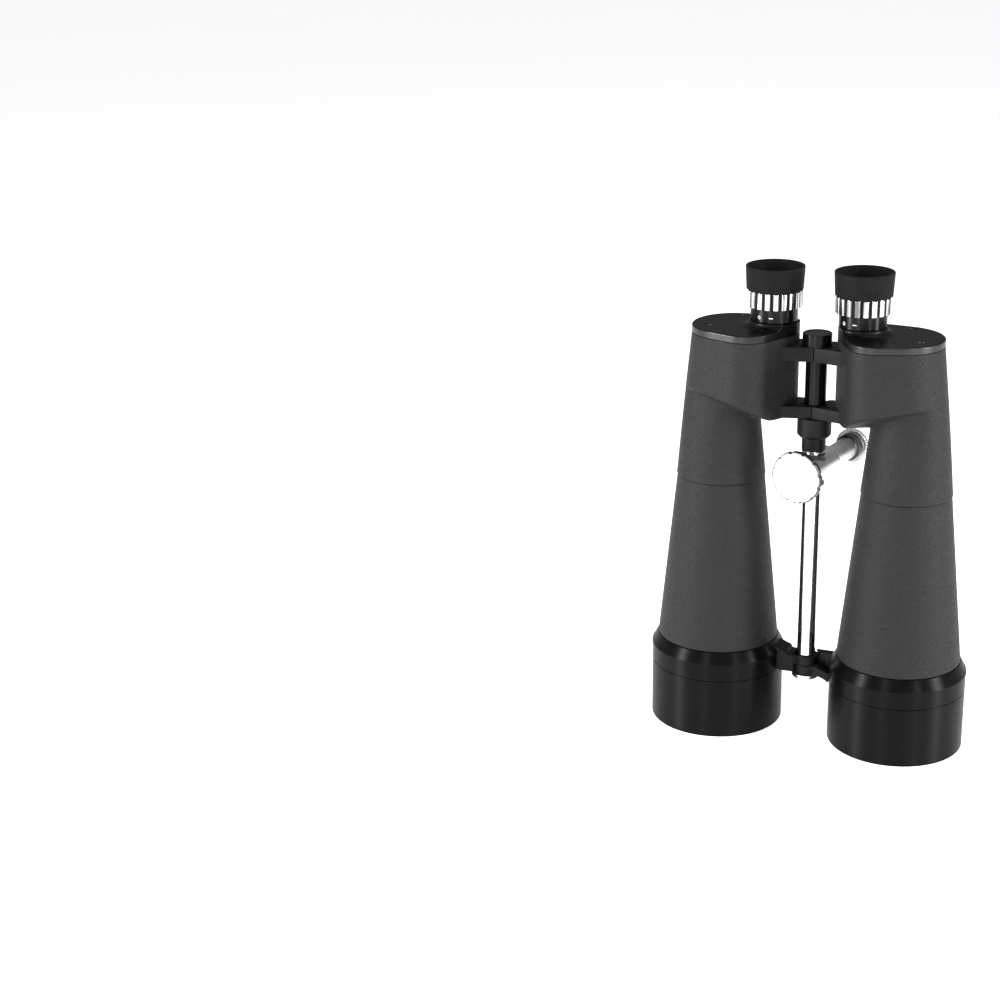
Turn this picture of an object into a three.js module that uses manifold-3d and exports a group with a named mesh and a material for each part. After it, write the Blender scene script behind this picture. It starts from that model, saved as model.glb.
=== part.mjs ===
// Large porro-prism astronomy binoculars on a centre rod, standing on their two objective hoods.
// Millimetres, +Z up, eyepieces up. The sky side faces -Y, the tripod side faces +Y, and the
// user's left half lies on +X. The hinge axis is vertical.

import * as THREE from 'three';
import { mergeVertices } from 'three/addons/utils/BufferGeometryUtils.js';
import Module from 'manifold-3d';

const wasm = await Module();
wasm.setup();

// ---------------------------------------------------------------- driving dimensions
const GAP = 0.3;                    // clearance between parts that touch
const RUNNING_FIT = 0.3;            // clearance round parts that turn or slide

const objectiveOffset = 65.6;       // hinge axis to each objective axis
const eyeOffset = 30.5;             // hinge axis to each eyepiece axis
const prismStep = (objectiveOffset - eyeOffset) / 4;    // each prism stands this far off its axis

const hoodRadius = 47;              // objective hood
const hoodWall = 2.2;
const hoodHeight = 42.6;
const hoodChamfer = 0.5;
const hoodThread = 6.3;             // length of the cell's spigot inside the hood

const flangeRadius = 47.4;          // objective cell, a flanged ring with a bevelled shoulder
const flangeLand = 1.4;             // upright edge below the bevel
const bevelBottom = 55.8;
const bevelTop = 63.4;
const shoulderRadius = 43.1;
const cellBore = 41.3;              // lens bore
const cellLedge = 38.9;             // light path above the lenses
const lensSeat = 57;                // height of the ledge that the lenses press against
const cellSpigotRadius = 40.3;
const cellSpigotHeight = 6.6;

const lensRadius = 41;
const crownEdge = 3.5;
const crownFrontSag = 3.4;
const crownBackSag = 2.5;
const flintEdge = 4.9;
const lensRingHeight = 3.7;
const lensRingBore = 38.6;

const coneFootRadius = 42.8;        // objective barrel, a cone
const seamHeight = 184;             // where the barrel enters the prism housing
const lipRadius = 31.1;             // prism housing's lower lip
const lipStep = 0.5;
const tubeTaper = 0.106;            // radius lost per millimetre of height above the lip
const barrelWall = 2.4;
const tubeWall = 2.2;                // wall of the short tube in the prism housing
const barrelSpigotRadius = 27.9;
const barrelSpigotBore = 26.2;
const barrelSpigotHeight = 10;

const housingTop = 288;             // prism housing, its top face
const housingFoot = 222;
const housingWall = 2.6;
const housingFlareX = 0.073;        // how much wider it is at the foot than at the top
const housingFlareY = 0.045;
const shelfFlat = 230.5;            // underside beside the hinge
const shelfBend = 30;               // distance from the hinge where the underside starts to rise
const shelfRise = 0.34;             // rise per millimetre outward
const shelfSlope = 0.5;             // rise per millimetre forward or back of the flat
const shelfHalfFlat = 22;
const bossRibRadius = 3.2;           // screw bosses on the inside of the wall
const bossRibHeight = 12;
const ledgeRadius = 2.6;             // ledges that carry the prism plate
const ledgeHeight = 4.7;
const ledgePlaces = [
  [eyeOffset - 1, -18.5], [objectiveOffset - 15.6, 23], [objectiveOffset + 14.4, -3],
];
const housingCircles = [            // outline of the housing's top: the hull of four circles
  { x: objectiveOffset - 9.6, y: -3, r: prismStep + 21.625 },
  { x: (objectiveOffset + eyeOffset) / 2 - 4.05, y: -prismStep - 10.225, r: 19 },
  { x: eyeOffset - 2.5, y: 3, r: 14.5 },
  { x: eyeOffset + 13.5, y: 10, r: 19 },
];

const coverLip = 4.9;               // rear cover
const coverBevel = 0.8;
const coverRecess = 2.5;
const coverWall = 2.8;
const bossTop = 297.6;              // raised foot round each eyepiece
const bossRadius = 16.9;
const bossFlare = bossRadius + 5.6;
const bossShoulder = 294.6;
const screwPlaces = [
  [objectiveOffset + 7.4, -13.5], [eyeOffset + 0.5, -16], [objectiveOffset - 5.6, 21.5],
];
const screwHeadRadius = 2.4;
const screwHeadHeight = 1.5;
const screwShankRadius = 1.3;
const screwLength = 8;

const prismHalf = 20.5;             // half the long face of each right-angle prism
const prismWidth = 19;
const prismPlateBottom = 262;
const prismPlateThickness = 3;
const prismPlateMargin = 0.6;
const lightRadius = 9;              // windows in the prism plate
const clipThickness = 0.8;
const clipWidth = 6;
const clipFoot = 3.2;

const armFrontSeam = 9;             // hinge arms: front face, at the seam
const armFrontEnd = 13.6;           // and at its outer end
const armLength = 20;
const armDepth = 13;
const armRoot = 27;
const upperArm = [272, 282];
const lowerArm = [232, 240.5];
const foldAllowance = 23;           // half the fold that the arms leave room for, degrees

const pinRadius = 4.2;              // hinge shaft
const lugRadius = 7.2;
const sleeveRadius = 7.3;
const capRadius = 10;
const capTop = 290.6;
const pinTop = 287;

const rodRadius = 6.5;
const socketRadius = rodRadius + 5.2;   // socket below the hinge that takes the rod
const socketShoulder = 219.6;
const socketChamfer = 2.4;
const socketNeckRadius = rodRadius + 1.7;
const socketBottom = 208;
const socketNeckChamfer = 1.2;

const rodTop = 221;
const rodShoulder = 55.2;
const rodPinRadius = 4.4;
const rodPinBottom = 38.2;
const nutRadius = 9.6;
const nutTop = 41;
const nutEdge = 38.6;
const nutDome = 36.2;
const stopClipRadius = rodRadius + 1.6;
const stopClipHeight = 1;
const stopClipGap = 3;               // half the opening that the clip snaps over the rod with

const bridgeTop = 58;               // objective bridge between the two cells
const bridgeSplit = 48.2;
const bridgeBottom = 41.4;
const bridgeHalfWidth = 8;
const bridgeLugRadius = 8.6;
const bridgeSweep = 37.5;
const bridgeUpperTop = 54.9;

const postHeight = 194;             // tripod post
const postTurn = 12;                // degrees from straight back towards the user's left
const postFront = -15.6;
const postBossRadius = 11;
const postBossEnd = 21;
const postTaperEnd = 27;
const postRadius = 7.8;
const postBandStart = 54;
const postEnd = 60.4;
const postBandRadius = 9.4;
const postSpigotRadius = 6.4;
const footRadius = 12.3;
const footThickness = 4.2;
const footNotches = 24;
const linerWall = 1.5;
const linerWindowHalf = 5.3;
const linerWindowAngle = 60;
const socketThreadRadius = 3.3;
const insertRadius = 5;
const insertDepth = 8;

const knobRadius = 18.3;            // clamp knob
const knobFront = -25.8;
const knobThickness = 4.2;
const knobHubRadius = 8.5;
const knobHubEnd = -17.6;
const knobScallops = 12;
const knobScallopRadius = 1.5;
const studRadius = 3;
const padRadius = 4.4;
const padLength = 3.4;
const clampTravel = 1.5;

const eyeTubeRadius = 16.1;         // eyepiece
const eyeTubeFoot = 297.9;
const eyeTubeStep = 307;
const eyeTubeNeck = eyeTubeRadius - 0.9;
const eyeTubeTop = 313.4;
const eyeTubeBore = eyeTubeRadius - 2.5;
const eyeSpigotRadius = eyeTubeBore - 1.4;
const eyeSpigotBottom = 289.4;
const eyeSpigotBore = eyeSpigotRadius - 1.7;
const eyeTubeFloor = 300;
const carrierRadius = eyeTubeBore - RUNNING_FIT;
const carrierBore = carrierRadius - 1.8;
const carrierBottom = 302.6;
const carrierTop = 327;
const carrierFlange = carrierRadius + 2.2;
const carrierFlangeHeight = 1.5;
const carrierEyeBore = carrierBore - 1.9;
const carrierLip = 1.2;
const ringRadius = eyeTubeRadius + 2.8;
const ringBottom = 307.2;
const ringTop = 318.6;
const ringBore = eyeTubeRadius + 0.35;
const ringWeb = 2.1;
const ringFlutes = 20;
const ringFluteDepth = 0.55;
const cupBottom = 318.9;
const cupFootRadius = ringRadius + 0.34;
const cupTop = 334.9;
const cupRadius = ringRadius + 1.2;
const cupWall = 1.7;
const cupFloor = 3.2;
const glassRadius = carrierBore - GAP;

const BIG = 24;                     // facets round large, middling and small circles
const MID = 16;
const SMALL = 8;

// ---------------------------------------------------------------- looks
const look = (colour, roughness, metalness) =>
  () => new THREE.MeshStandardMaterial({ color: colour, roughness, metalness });
const pebbled = look(0x2c2c2e, 0.75, 0.0);
const satinBlack = look(0x141416, 0.42, 0.2);
const castGrey = look(0x343436, 0.6, 0.3);
const glossBlack = look(0x0c0c0d, 0.22, 0.3);
const chrome = look(0xd8dade, 0.12, 1.0);
const satinSilver = look(0xc4c6c8, 0.35, 0.9);
const whiteFace = look(0xf2f2f2, 0.35, 0.3);
const rubber = look(0x262627, 0.85, 0.0);
const glass = look(0xbfd6e4, 0.05, 0.0);
const steel = look(0x8b8d90, 0.35, 0.9);
const brass = look(0xb08d4a, 0.4, 0.9);

// ---------------------------------------------------------------- shape helpers
// A closed solid of revolution about Z. The profile is a list of [radius, height], and either
// closes on itself or runs from axis to axis.
function turned(profile, facets = MID) {
  const points = profile.map(([r, z]) => new THREE.Vector2(r, z));
  const onAxis = points[0].x === 0 && points.at(-1).x === 0;
  if (THREE.ShapeUtils.area(points) < 0) points.reverse();
  if (!onAxis) points.push(points[0].clone());
  return new THREE.LatheGeometry(points, facets).rotateX(Math.PI / 2);
}

// A plain ring or disc between two heights.
const ring = (outer, inner, low, high, facets) =>
  turned([[inner, low], [outer, low], [outer, high], [inner, high]], facets);
const disc = (radius, low, high, facets) =>
  turned([[0, low], [radius, low], [radius, high], [0, high]], facets);

// A prism of a plan outline between two heights.
function plate(points, low, high) {
  const shape = new THREE.Shape(points.map(([x, y]) => new THREE.Vector2(x, y)));
  return new THREE.ExtrudeGeometry(shape, { depth: high - low, bevelEnabled: false })
    .translate(0, 0, low);
}

// A prism of an outline drawn in X and Z, centred on Y.
const upright = (points, depth) =>
  plate(points, -depth / 2, depth / 2).rotateX(Math.PI / 2);

// A rectangular block between two values along each of X, Y and Z.
const block = ([left, right], [front, back], [low, high]) =>
  plate([[left, front], [right, front], [right, back], [left, back]], low, high);

// The outline round a set of circles pulled tight, as a belt runs round pulleys.
function belt(circles, inset = 0, steps = 24) {
  const points = [];
  for (let i = 0; i < steps; i++) {
    const angle = (2 * Math.PI * i) / steps;
    const reach = (c) => c.x * Math.cos(angle) + c.y * Math.sin(angle) + c.r;
    const far = circles.reduce((a, b) => (reach(b) > reach(a) ? b : a));
    const radius = far.r - inset;
    points.push([far.x + radius * Math.cos(angle), far.y + radius * Math.sin(angle)]);
  }
  return points;
}

// Moves between three.js geometry and boolean solids.
function toSolid(geometry) {
  const bare = geometry.clone();
  bare.deleteAttribute('normal');
  bare.deleteAttribute('uv');
  const merged = mergeVertices(bare, 1e-4);
  return new wasm.Manifold(new wasm.Mesh({
    numProp: 3,
    vertProperties: new Float32Array(merged.attributes.position.array),
    triVerts: new Uint32Array(merged.index.array),
  }));
}

function toGeometry(solid) {
  const mesh = solid.getMesh();
  const geometry = new THREE.BufferGeometry();
  geometry.setAttribute('position', new THREE.BufferAttribute(mesh.vertProperties, 3));
  geometry.setIndex(new THREE.BufferAttribute(mesh.triVerts, 1));
  return geometry;
}

function combine(first, ...steps) {
  let solid = toSolid(first);
  for (const [how, ...others] of steps) {
    for (const other of others) solid = solid[how](toSolid(other));
  }
  return toGeometry(solid);
}

// The other half's copy, mirrored in the hinge plane with its faces turned back outwards.
function mirrored(geometry) {
  const copy = mergeVertices(toGeometry(toSolid(geometry)));
  copy.scale(-1, 1, 1);
  const index = copy.index.array;
  for (let i = 0; i < index.length; i += 3) {
    [index[i], index[i + 1]] = [index[i + 1], index[i]];
  }
  return copy;
}

const degrees = THREE.MathUtils.degToRad;

const binoculars = new THREE.Group();
function place(name, geometry, material, at = [0, 0, 0], parent = binoculars) {
  const mesh = new THREE.Mesh(geometry, material());
  mesh.name = name;
  mesh.position.set(...at);
  parent.add(mesh);
  return mesh;
}

// Radius of the barrel line at a height above the housing's lip.
const tubeRadius = (z) => lipRadius - tubeTaper * (z - seamHeight);

// ---------------------------------------------------------------- objective end
const spigotBottom = hoodHeight + GAP - hoodThread;
const cellWallBottom = hoodHeight + GAP;

function objectiveHood() {
  const inner = hoodRadius - hoodWall;
  return turned([
    [inner, hoodChamfer], [inner + hoodChamfer, 0], [hoodRadius - hoodChamfer, 0],
    [hoodRadius, hoodChamfer], [hoodRadius, hoodHeight], [inner, hoodHeight],
  ], BIG);
}

function cellRing() {
  const spigot = hoodRadius - hoodWall - GAP;
  return turned([
    [cellBore, spigotBottom], [spigot, spigotBottom], [spigot, cellWallBottom],
    [hoodRadius, cellWallBottom], [hoodRadius, bevelBottom - flangeLand],
    [flangeRadius, bevelBottom - flangeLand], [flangeRadius, bevelBottom],
    [shoulderRadius, bevelTop], [cellSpigotRadius, bevelTop],
    [cellSpigotRadius, bevelTop + cellSpigotHeight],
    [cellLedge, bevelTop + cellSpigotHeight], [cellLedge, lensSeat], [cellBore, lensSeat],
  ], BIG);
}

// The bridge arm reaches from the cell to a lug round the rod's pin. The two halves' lugs sit
// one above the other, and each arm is relieved round the other half's lug.
function objectiveCell(lugIsUpper) {
  const reach = objectiveOffset - flangeRadius + 6;
  const arm = upright([
    [0, bridgeBottom], [nutRadius + 1, bridgeBottom], [reach - 6, bridgeSweep],
    [reach, bridgeSweep], [reach, bridgeTop], [bridgeLugRadius + 3, bridgeTop],
    [bridgeLugRadius + 1, bridgeUpperTop], [0, bridgeUpperTop],
  ], 2 * bridgeHalfWidth);
  const split = GAP / 2;
  const own = lugIsUpper
    ? [bridgeSplit + split, bridgeUpperTop] : [bridgeBottom, bridgeSplit - split];
  const other = lugIsUpper
    ? [bridgeBottom - 9, bridgeSplit + split] : [bridgeSplit - split, bridgeTop + 9];
  const ringAt = (geometry) => geometry.translate(objectiveOffset, 0, 0);
  return combine(
    arm,
    ['subtract', ringAt(disc(hoodRadius + GAP, 0, cellWallBottom, BIG)),
      ringAt(disc(hoodRadius - 1, cellWallBottom - 1, bevelTop + 9, BIG)),
      disc(bridgeLugRadius + RUNNING_FIT, ...other, MID),
      disc(rodRadius + 1.5, bridgeUpperTop - 0.01, bridgeTop + 9, MID)],
    ['add', disc(bridgeLugRadius, ...own, MID), ringAt(cellRing())],
    ['subtract', disc(rodPinRadius + RUNNING_FIT, bridgeBottom - 9, bridgeTop + 9, MID)],
  );
}

const lensRingBottom = lensSeat - GAP * 4 - flintEdge - crownEdge - lensRingHeight;
const crownBottom = lensRingBottom + lensRingHeight + 2 * GAP;
const crownTop = crownBottom + crownEdge;
const flintBottom = crownTop + GAP;

// A shallow dome from the edge to the axis.
function dome(edge, sag, radius = lensRadius, steps = 2) {
  const points = [];
  for (let i = 0; i <= steps; i++) {
    const r = radius * (1 - i / steps);
    points.push([r, edge + sag * (1 - (r / radius) ** 2)]);
  }
  return points;
}

const crownLens = () => turned([
  ...dome(crownBottom, -crownFrontSag).reverse(), ...dome(crownTop, crownBackSag),
], BIG);

const flintLens = () => turned([
  ...dome(flintBottom, crownBackSag).reverse(),
  [lensRadius, flintBottom + flintEdge], [0, flintBottom + flintEdge],
], BIG);

function objectiveBarrel() {
  const foot = bevelTop + GAP;
  const top = seamHeight - GAP;
  const counterbore = cellSpigotRadius + GAP;
  const counterTop = bevelTop + cellSpigotHeight + GAP * 2;
  const spigotTop = top + barrelSpigotHeight;
  return turned([
    [counterbore, foot], [coneFootRadius, foot], [lipRadius - lipStep, top],
    [barrelSpigotRadius, top], [barrelSpigotRadius, spigotTop], [barrelSpigotBore, spigotTop],
    [barrelSpigotBore, top - 4], [coneFootRadius - barrelWall - 0.9, counterTop],
    [counterbore, counterTop],
  ], BIG);
}

// ---------------------------------------------------------------- prism housing
const innerWallX = housingCircles[2].x - housingCircles[2].r;

// The housing widens slowly towards its foot, away from the hinge.
function flared(geometry) {
  const position = geometry.attributes.position;
  for (let i = 0; i < position.count; i++) {
    const drop = (housingTop - position.getZ(i)) / (housingTop - housingFoot);
    const x = position.getX(i);
    position.setX(i, innerWallX + (x - innerWallX) * (1 + housingFlareX * drop));
    position.setY(i, position.getY(i) * (1 + housingFlareY * drop));
  }
  return geometry;
}

// Everything above the housing's underside: flat beside the hinge, rising outward, and
// rising again forward and back of the middle.
function aboveUnderside(lift) {
  const far = objectiveOffset + hoodRadius;
  const z = (x) => shelfFlat + lift + shelfRise * Math.max(0, x - shelfBend);
  const near = -bridgeLugRadius;
  const profile = [
    [near, z(near)], [shelfBend, z(shelfBend)], [far, z(far)],
    [far, 2 * housingTop - housingFoot], [near, 2 * housingTop - housingFoot],
  ];
  const slab = () => upright(profile, 3 * hoodRadius);
  const lean = (side) => slab().applyMatrix4(new THREE.Matrix4().set(
    1, 0, 0, 0,
    0, 1, 0, 0,
    0, side * shelfSlope, 1, -shelfSlope * shelfHalfFlat,
    0, 0, 0, 1));
  return [slab(), lean(1), lean(-1)];
}

function tubeBore() {
  const counterTop = seamHeight + barrelSpigotHeight + GAP;
  const high = prismPlateBottom;
  return turned([
    [0, seamHeight - 5], [barrelSpigotRadius + GAP, seamHeight - 5],
    [barrelSpigotRadius + GAP, counterTop], [barrelSpigotBore, counterTop],
    [tubeRadius(high) - tubeWall, high], [0, high],
  ], BIG);
}

// One hinge arm in plan, for the +X half: flat sloping front, square end, and a back that
// leaves room for the other half when the binoculars fold.
function armPlan() {
  const backX = armDepth * Math.tan(degrees(foldAllowance)) + 0.5;
  return [
    [GAP / 2, -armFrontSeam], [armLength, -armFrontEnd], [armRoot, -armFrontEnd],
    [armRoot, armDepth], [backX + 2, armDepth], [backX, armDepth - 2], [GAP / 2, 0],
  ];
}

// The arm's half of its height that carries its own lug, and the half relieved for the other.
function armLevels([low, high], lugIsUpper) {
  const middle = (low + high) / 2;
  return lugIsUpper
    ? { own: [middle + GAP / 2, high], other: [low - 1, middle + GAP / 2] }
    : { own: [low, middle - GAP / 2], other: [middle - GAP / 2, high + 1] };
}

// A rib on the inside of the wall, round-ended at the given place.
function wallRib([x, y], radius, low, high) {
  const middle = { x: (objectiveOffset + eyeOffset) / 2, y: -4 };
  const away = new THREE.Vector2(x - middle.x, y - middle.y).setLength(12);
  const outline = belt([{ x, y, r: radius }, { x: x + away.x, y: y + away.y, r: radius }], 0, 12);
  const outer = flared(plate(belt(housingCircles, 0.5), housingFoot, housingTop));
  return combine(plate(outline, low, high), ['intersect', outer]);
}

function prismHousing(lugIsUpper) {
  const outer = flared(plate(belt(housingCircles), housingFoot, housingTop));
  const inner = flared(plate(belt(housingCircles, housingWall), housingFoot, housingTop + 5));
  const shell = combine(outer, ['intersect', ...aboveUnderside(0)]);
  const pocket = combine(inner, ['intersect', ...aboveUnderside(housingWall)]);
  const outside = turned([
    [0, seamHeight], [lipRadius, seamHeight], [tubeRadius(prismPlateBottom), prismPlateBottom],
    [0, prismPlateBottom],
  ], BIG).translate(objectiveOffset, 0, 0);
  const bosses = screwPlaces.map((at) =>
    wallRib(at, bossRibRadius, housingTop - bossRibHeight, housingTop));
  const ledges = ledgePlaces.map((at) =>
    wallRib(at, ledgeRadius, prismPlateBottom - GAP - ledgeHeight, prismPlateBottom - GAP));
  const pilots = screwPlaces.map(([x, y]) =>
    disc(screwShankRadius + GAP, housingTop - screwLength, housingTop + 1, SMALL)
      .translate(x, y, 0));
  const hollow = combine(
    shell,
    ['add', outside],
    ['subtract', pocket, tubeBore().translate(objectiveOffset, 0, 0)],
  );
  const arms = [upperArm, lowerArm].map((levels) => {
    const { own, other } = armLevels(levels, lugIsUpper);
    return combine(
      plate(armPlan(), ...levels),
      ['subtract', disc(lugRadius + RUNNING_FIT, ...other, MID), inner],
      ['add', disc(lugRadius, ...own, MID)],
      ['subtract', disc(pinRadius + RUNNING_FIT, levels[0] - 1, levels[1] + 1, MID)],
    );
  });
  return combine(hollow, ['add', ...bosses, ...ledges, ...arms], ['subtract', ...pilots]);
}

// ---------------------------------------------------------------- rear cover
const coverBottom = housingTop + GAP;
const coverTop = coverBottom + coverLip;
const screwHole = screwShankRadius + GAP;

function rearCover() {
  const rim = plate(belt(housingCircles), coverBottom, coverTop - coverBevel);
  const top = plate(belt(housingCircles, coverBevel), coverTop - coverBevel - 0.01, coverTop);
  const tall = plate(belt(housingCircles), coverBottom, bossTop + 1);
  const boss = turned([
    [0, coverTop - 1], [bossFlare, coverTop - 1], [bossRadius + 1.6, bossShoulder],
    [bossRadius, bossShoulder + 1.2], [bossRadius, bossTop], [0, bossTop],
  ], MID).translate(eyeOffset, 0, 0);
  const recess = plate(belt(housingCircles, coverWall), coverBottom - 1, coverBottom + coverRecess);
  const cutters = screwPlaces.flatMap(([x, y]) => [
    disc(screwHole, coverBottom - 1, coverTop + 1, SMALL).translate(x, y, 0),
    disc(screwHeadRadius + GAP, coverTop - screwHeadHeight - GAP, coverTop + 6, SMALL)
      .translate(x, y, 0),
  ]);
  return combine(
    rim,
    ['add', top, combine(boss, ['intersect', tall])],
    ['subtract', recess, ...cutters,
      disc(eyeSpigotRadius + GAP, coverBottom - 1, bossTop + 1, MID).translate(eyeOffset, 0, 0)],
  );
}

function coverScrew() {
  const top = coverTop - 0.2;
  const neck = top - screwHeadHeight;
  return turned([
    [0, top - screwLength], [screwShankRadius, top - screwLength], [screwShankRadius, neck],
    [screwHeadRadius, neck], [screwHeadRadius, top], [0, top],
  ], SMALL);
}

// ---------------------------------------------------------------- prisms
const frontPrismAt = [objectiveOffset - prismStep, -prismStep];
const rearPrismAt = [eyeOffset + prismStep, -prismStep];
const lightTurn = [objectiveOffset - 2 * prismStep, -2 * prismStep];
const plateTop = prismPlateBottom + prismPlateThickness;

function prismPlate() {
  const windows = [[objectiveOffset, 0], lightTurn, [eyeOffset, 0]].map(([x, y]) =>
    disc(lightRadius, prismPlateBottom - 1, plateTop + 1, MID).translate(x, y, 0));
  const outline = belt(housingCircles, housingWall + prismPlateMargin);
  return combine(plate(outline, prismPlateBottom, plateTop), ['subtract', ...windows]);
}

// A right-angle prism with its long face on z = 0 and its roof above.
const rightAnglePrism = () =>
  upright([[-prismHalf, 0], [prismHalf, 0], [1, prismHalf - 1], [-1, prismHalf - 1]], prismWidth);

// A spring strap bent over the prism's roof, with a foot at each end.
function prismClip() {
  const inside = prismHalf + GAP * 1.5;
  const outside = inside + clipThickness * 1.414;
  return upright([
    [-outside - clipFoot, 0], [-inside, 0], [-1, inside - 1], [1, inside - 1], [inside, 0],
    [outside + clipFoot, 0], [outside + clipFoot, clipThickness],
    [outside - clipThickness, clipThickness], [1.4, outside - 1.4], [-1.4, outside - 1.4],
    [clipThickness - outside, clipThickness], [-outside - clipFoot, clipThickness],
  ], clipWidth);
}

// The first prism stands on the plate and the second hangs below it, square to the first.
const onPlate = (geometry) =>
  geometry.rotateZ(degrees(45)).translate(...frontPrismAt, plateTop + GAP);
const underPlate = (geometry) =>
  geometry.rotateX(Math.PI).rotateZ(degrees(-45))
    .translate(...rearPrismAt, prismPlateBottom - GAP);

// ---------------------------------------------------------------- eyepiece
const eyepieceTube = () => turned([
  [eyeSpigotBore, eyeSpigotBottom], [eyeSpigotRadius, eyeSpigotBottom],
  [eyeSpigotRadius, eyeTubeFoot], [eyeTubeRadius, eyeTubeFoot],
  [eyeTubeRadius, eyeTubeStep - 0.4], [eyeTubeRadius - 0.4, eyeTubeStep],
  [eyeTubeNeck, eyeTubeStep], [eyeTubeNeck, eyeTubeTop],
  [eyeTubeBore, eyeTubeTop], [eyeTubeBore, eyeTubeFloor], [eyeSpigotBore, eyeTubeFloor],
], MID);

function ocularCarrier() {
  const flange = cupBottom + cupFloor + GAP;
  return turned([
    [carrierBore, carrierBottom], [carrierRadius, carrierBottom], [carrierRadius, flange],
    [carrierFlange, flange], [carrierFlange, flange + carrierFlangeHeight],
    [carrierRadius, flange + carrierFlangeHeight], [carrierRadius, carrierTop],
    [carrierEyeBore, carrierTop], [carrierEyeBore, carrierTop - carrierLip],
    [carrierBore, carrierTop - carrierLip],
  ], MID);
}

// A ring with shallow flutes milled round it.
function focusRing() {
  const steps = ringFlutes * 3;
  const outline = [];
  for (let i = 0; i < steps; i++) {
    const angle = (2 * Math.PI * (i + 0.5)) / steps;
    const radius = i % 3 < 2 ? ringRadius : ringRadius - ringFluteDepth;
    outline.push([radius * Math.cos(angle), radius * Math.sin(angle)]);
  }
  return combine(
    plate(outline, ringBottom, ringTop),
    ['subtract', disc(ringBore, ringBottom - 1, ringTop - ringWeb, MID),
      disc(carrierRadius + RUNNING_FIT, ringBottom - 1, ringTop + 1, MID)],
  );
}

const eyecup = () => turned([
  [carrierRadius + RUNNING_FIT, cupBottom], [cupFootRadius, cupBottom], [cupRadius, cupTop - 0.6],
  [cupRadius - 0.5, cupTop], [cupRadius - cupWall + 0.4, cupTop],
  [cupRadius - cupWall, cupTop - 0.6], [carrierFlange + 1.2, cupBottom + cupFloor],
  [carrierRadius + RUNNING_FIT, cupBottom + cupFloor],
], MID);

// Glass inside the carrier, from the field end up: field lens, spacer, eye lens.
const fieldBottom = 304.2;
const fieldThickness = 4.4;
const eyeGlassTop = carrierTop - carrierLip - GAP;
const eyeGlassThickness = 5;
const fieldLens = () => turned([
  ...dome(fieldBottom + 1.2, -1.2, glassRadius, 2).reverse(),
  [glassRadius, fieldBottom + fieldThickness], [0, fieldBottom + fieldThickness],
], MID);
const eyeLens = () => turned([
  [0, eyeGlassTop - eyeGlassThickness], [glassRadius, eyeGlassTop - eyeGlassThickness],
  ...dome(eyeGlassTop - 1.6, 1.6, glassRadius, 2),
], MID);
const ocularSpacer = () => ring(glassRadius, glassRadius - 1.4,
  fieldBottom + fieldThickness + GAP, eyeGlassTop - eyeGlassThickness - GAP, MID);

// ---------------------------------------------------------------- the two halves
for (const side of [1, -1]) {
  const half = side > 0 ? 'left' : 'right';
  const lugIsUpper = side < 0;
  const hand = (geometry) => (side > 0 ? geometry : mirrored(geometry));
  const objectiveAxis = [side * objectiveOffset, 0, 0];
  const eyeAxis = [side * eyeOffset, 0, 0];

  place(`${half}_objective_hood`, objectiveHood(), satinBlack, objectiveAxis);
  place(`${half}_objective_cell`, hand(objectiveCell(lugIsUpper)), satinBlack);
  place(`${half}_lens_ring`, ring(lensRadius, lensRingBore, lensRingBottom,
    lensRingBottom + lensRingHeight, BIG), satinBlack, objectiveAxis);
  place(`${half}_crown_lens`, crownLens(), glass, objectiveAxis);
  place(`${half}_flint_lens`, flintLens(), glass, objectiveAxis);
  place(`${half}_objective_barrel`, objectiveBarrel(), pebbled, objectiveAxis);

  place(`${half}_prism_housing`, hand(prismHousing(lugIsUpper)), pebbled);
  place(`${half}_prism_plate`, hand(prismPlate()), castGrey);
  place(`${half}_front_prism`, hand(onPlate(rightAnglePrism())), glass);
  place(`${half}_rear_prism`, hand(underPlate(rightAnglePrism())), glass);
  place(`${half}_front_prism_clip`, hand(onPlate(prismClip())), steel);
  place(`${half}_rear_prism_clip`, hand(underPlate(prismClip())), steel);

  place(`${half}_rear_cover`, hand(rearCover()), satinBlack);
  screwPlaces.forEach(([x, y], i) => {
    place(`${half}_cover_screw_${i + 1}`, coverScrew(), satinBlack, [side * x, y, 0]);
  });

  place(`${half}_eyepiece_tube`, eyepieceTube(), satinBlack, eyeAxis);
  place(`${half}_ocular_carrier`, ocularCarrier(), satinBlack, eyeAxis);
  place(`${half}_field_lens`, fieldLens(), glass, eyeAxis);
  place(`${half}_ocular_spacer`, ocularSpacer(), satinBlack, eyeAxis);
  place(`${half}_eye_lens`, eyeLens(), glass, eyeAxis);
  place(`${half}_focus_ring`, focusRing(), chrome, eyeAxis);
  place(`${half}_eyecup`, eyecup(), rubber, eyeAxis);
}

// ---------------------------------------------------------------- hinge and rod
const sleeveBottom = lowerArm[1] + GAP;
const sleeveTop = upperArm[0] - GAP;
const socketTop = lowerArm[0] - GAP;
const socketFloor = rodTop + GAP;

place('hinge_shaft', turned([
  [0, socketFloor + 2], [pinRadius, socketFloor + 2], [pinRadius, sleeveBottom],
  [sleeveRadius, sleeveBottom], [sleeveRadius, sleeveTop], [pinRadius, sleeveTop],
  [pinRadius, pinTop], [0, pinTop],
], MID), glossBlack);

place('hinge_top_cap', turned([
  [pinRadius + GAP, upperArm[1] + GAP], [capRadius, upperArm[1] + GAP],
  [capRadius, capTop - 0.6], [capRadius - 0.6, capTop], [0, capTop], [0, pinTop + GAP],
  [pinRadius + GAP, pinTop + GAP],
], MID), glossBlack);

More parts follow.
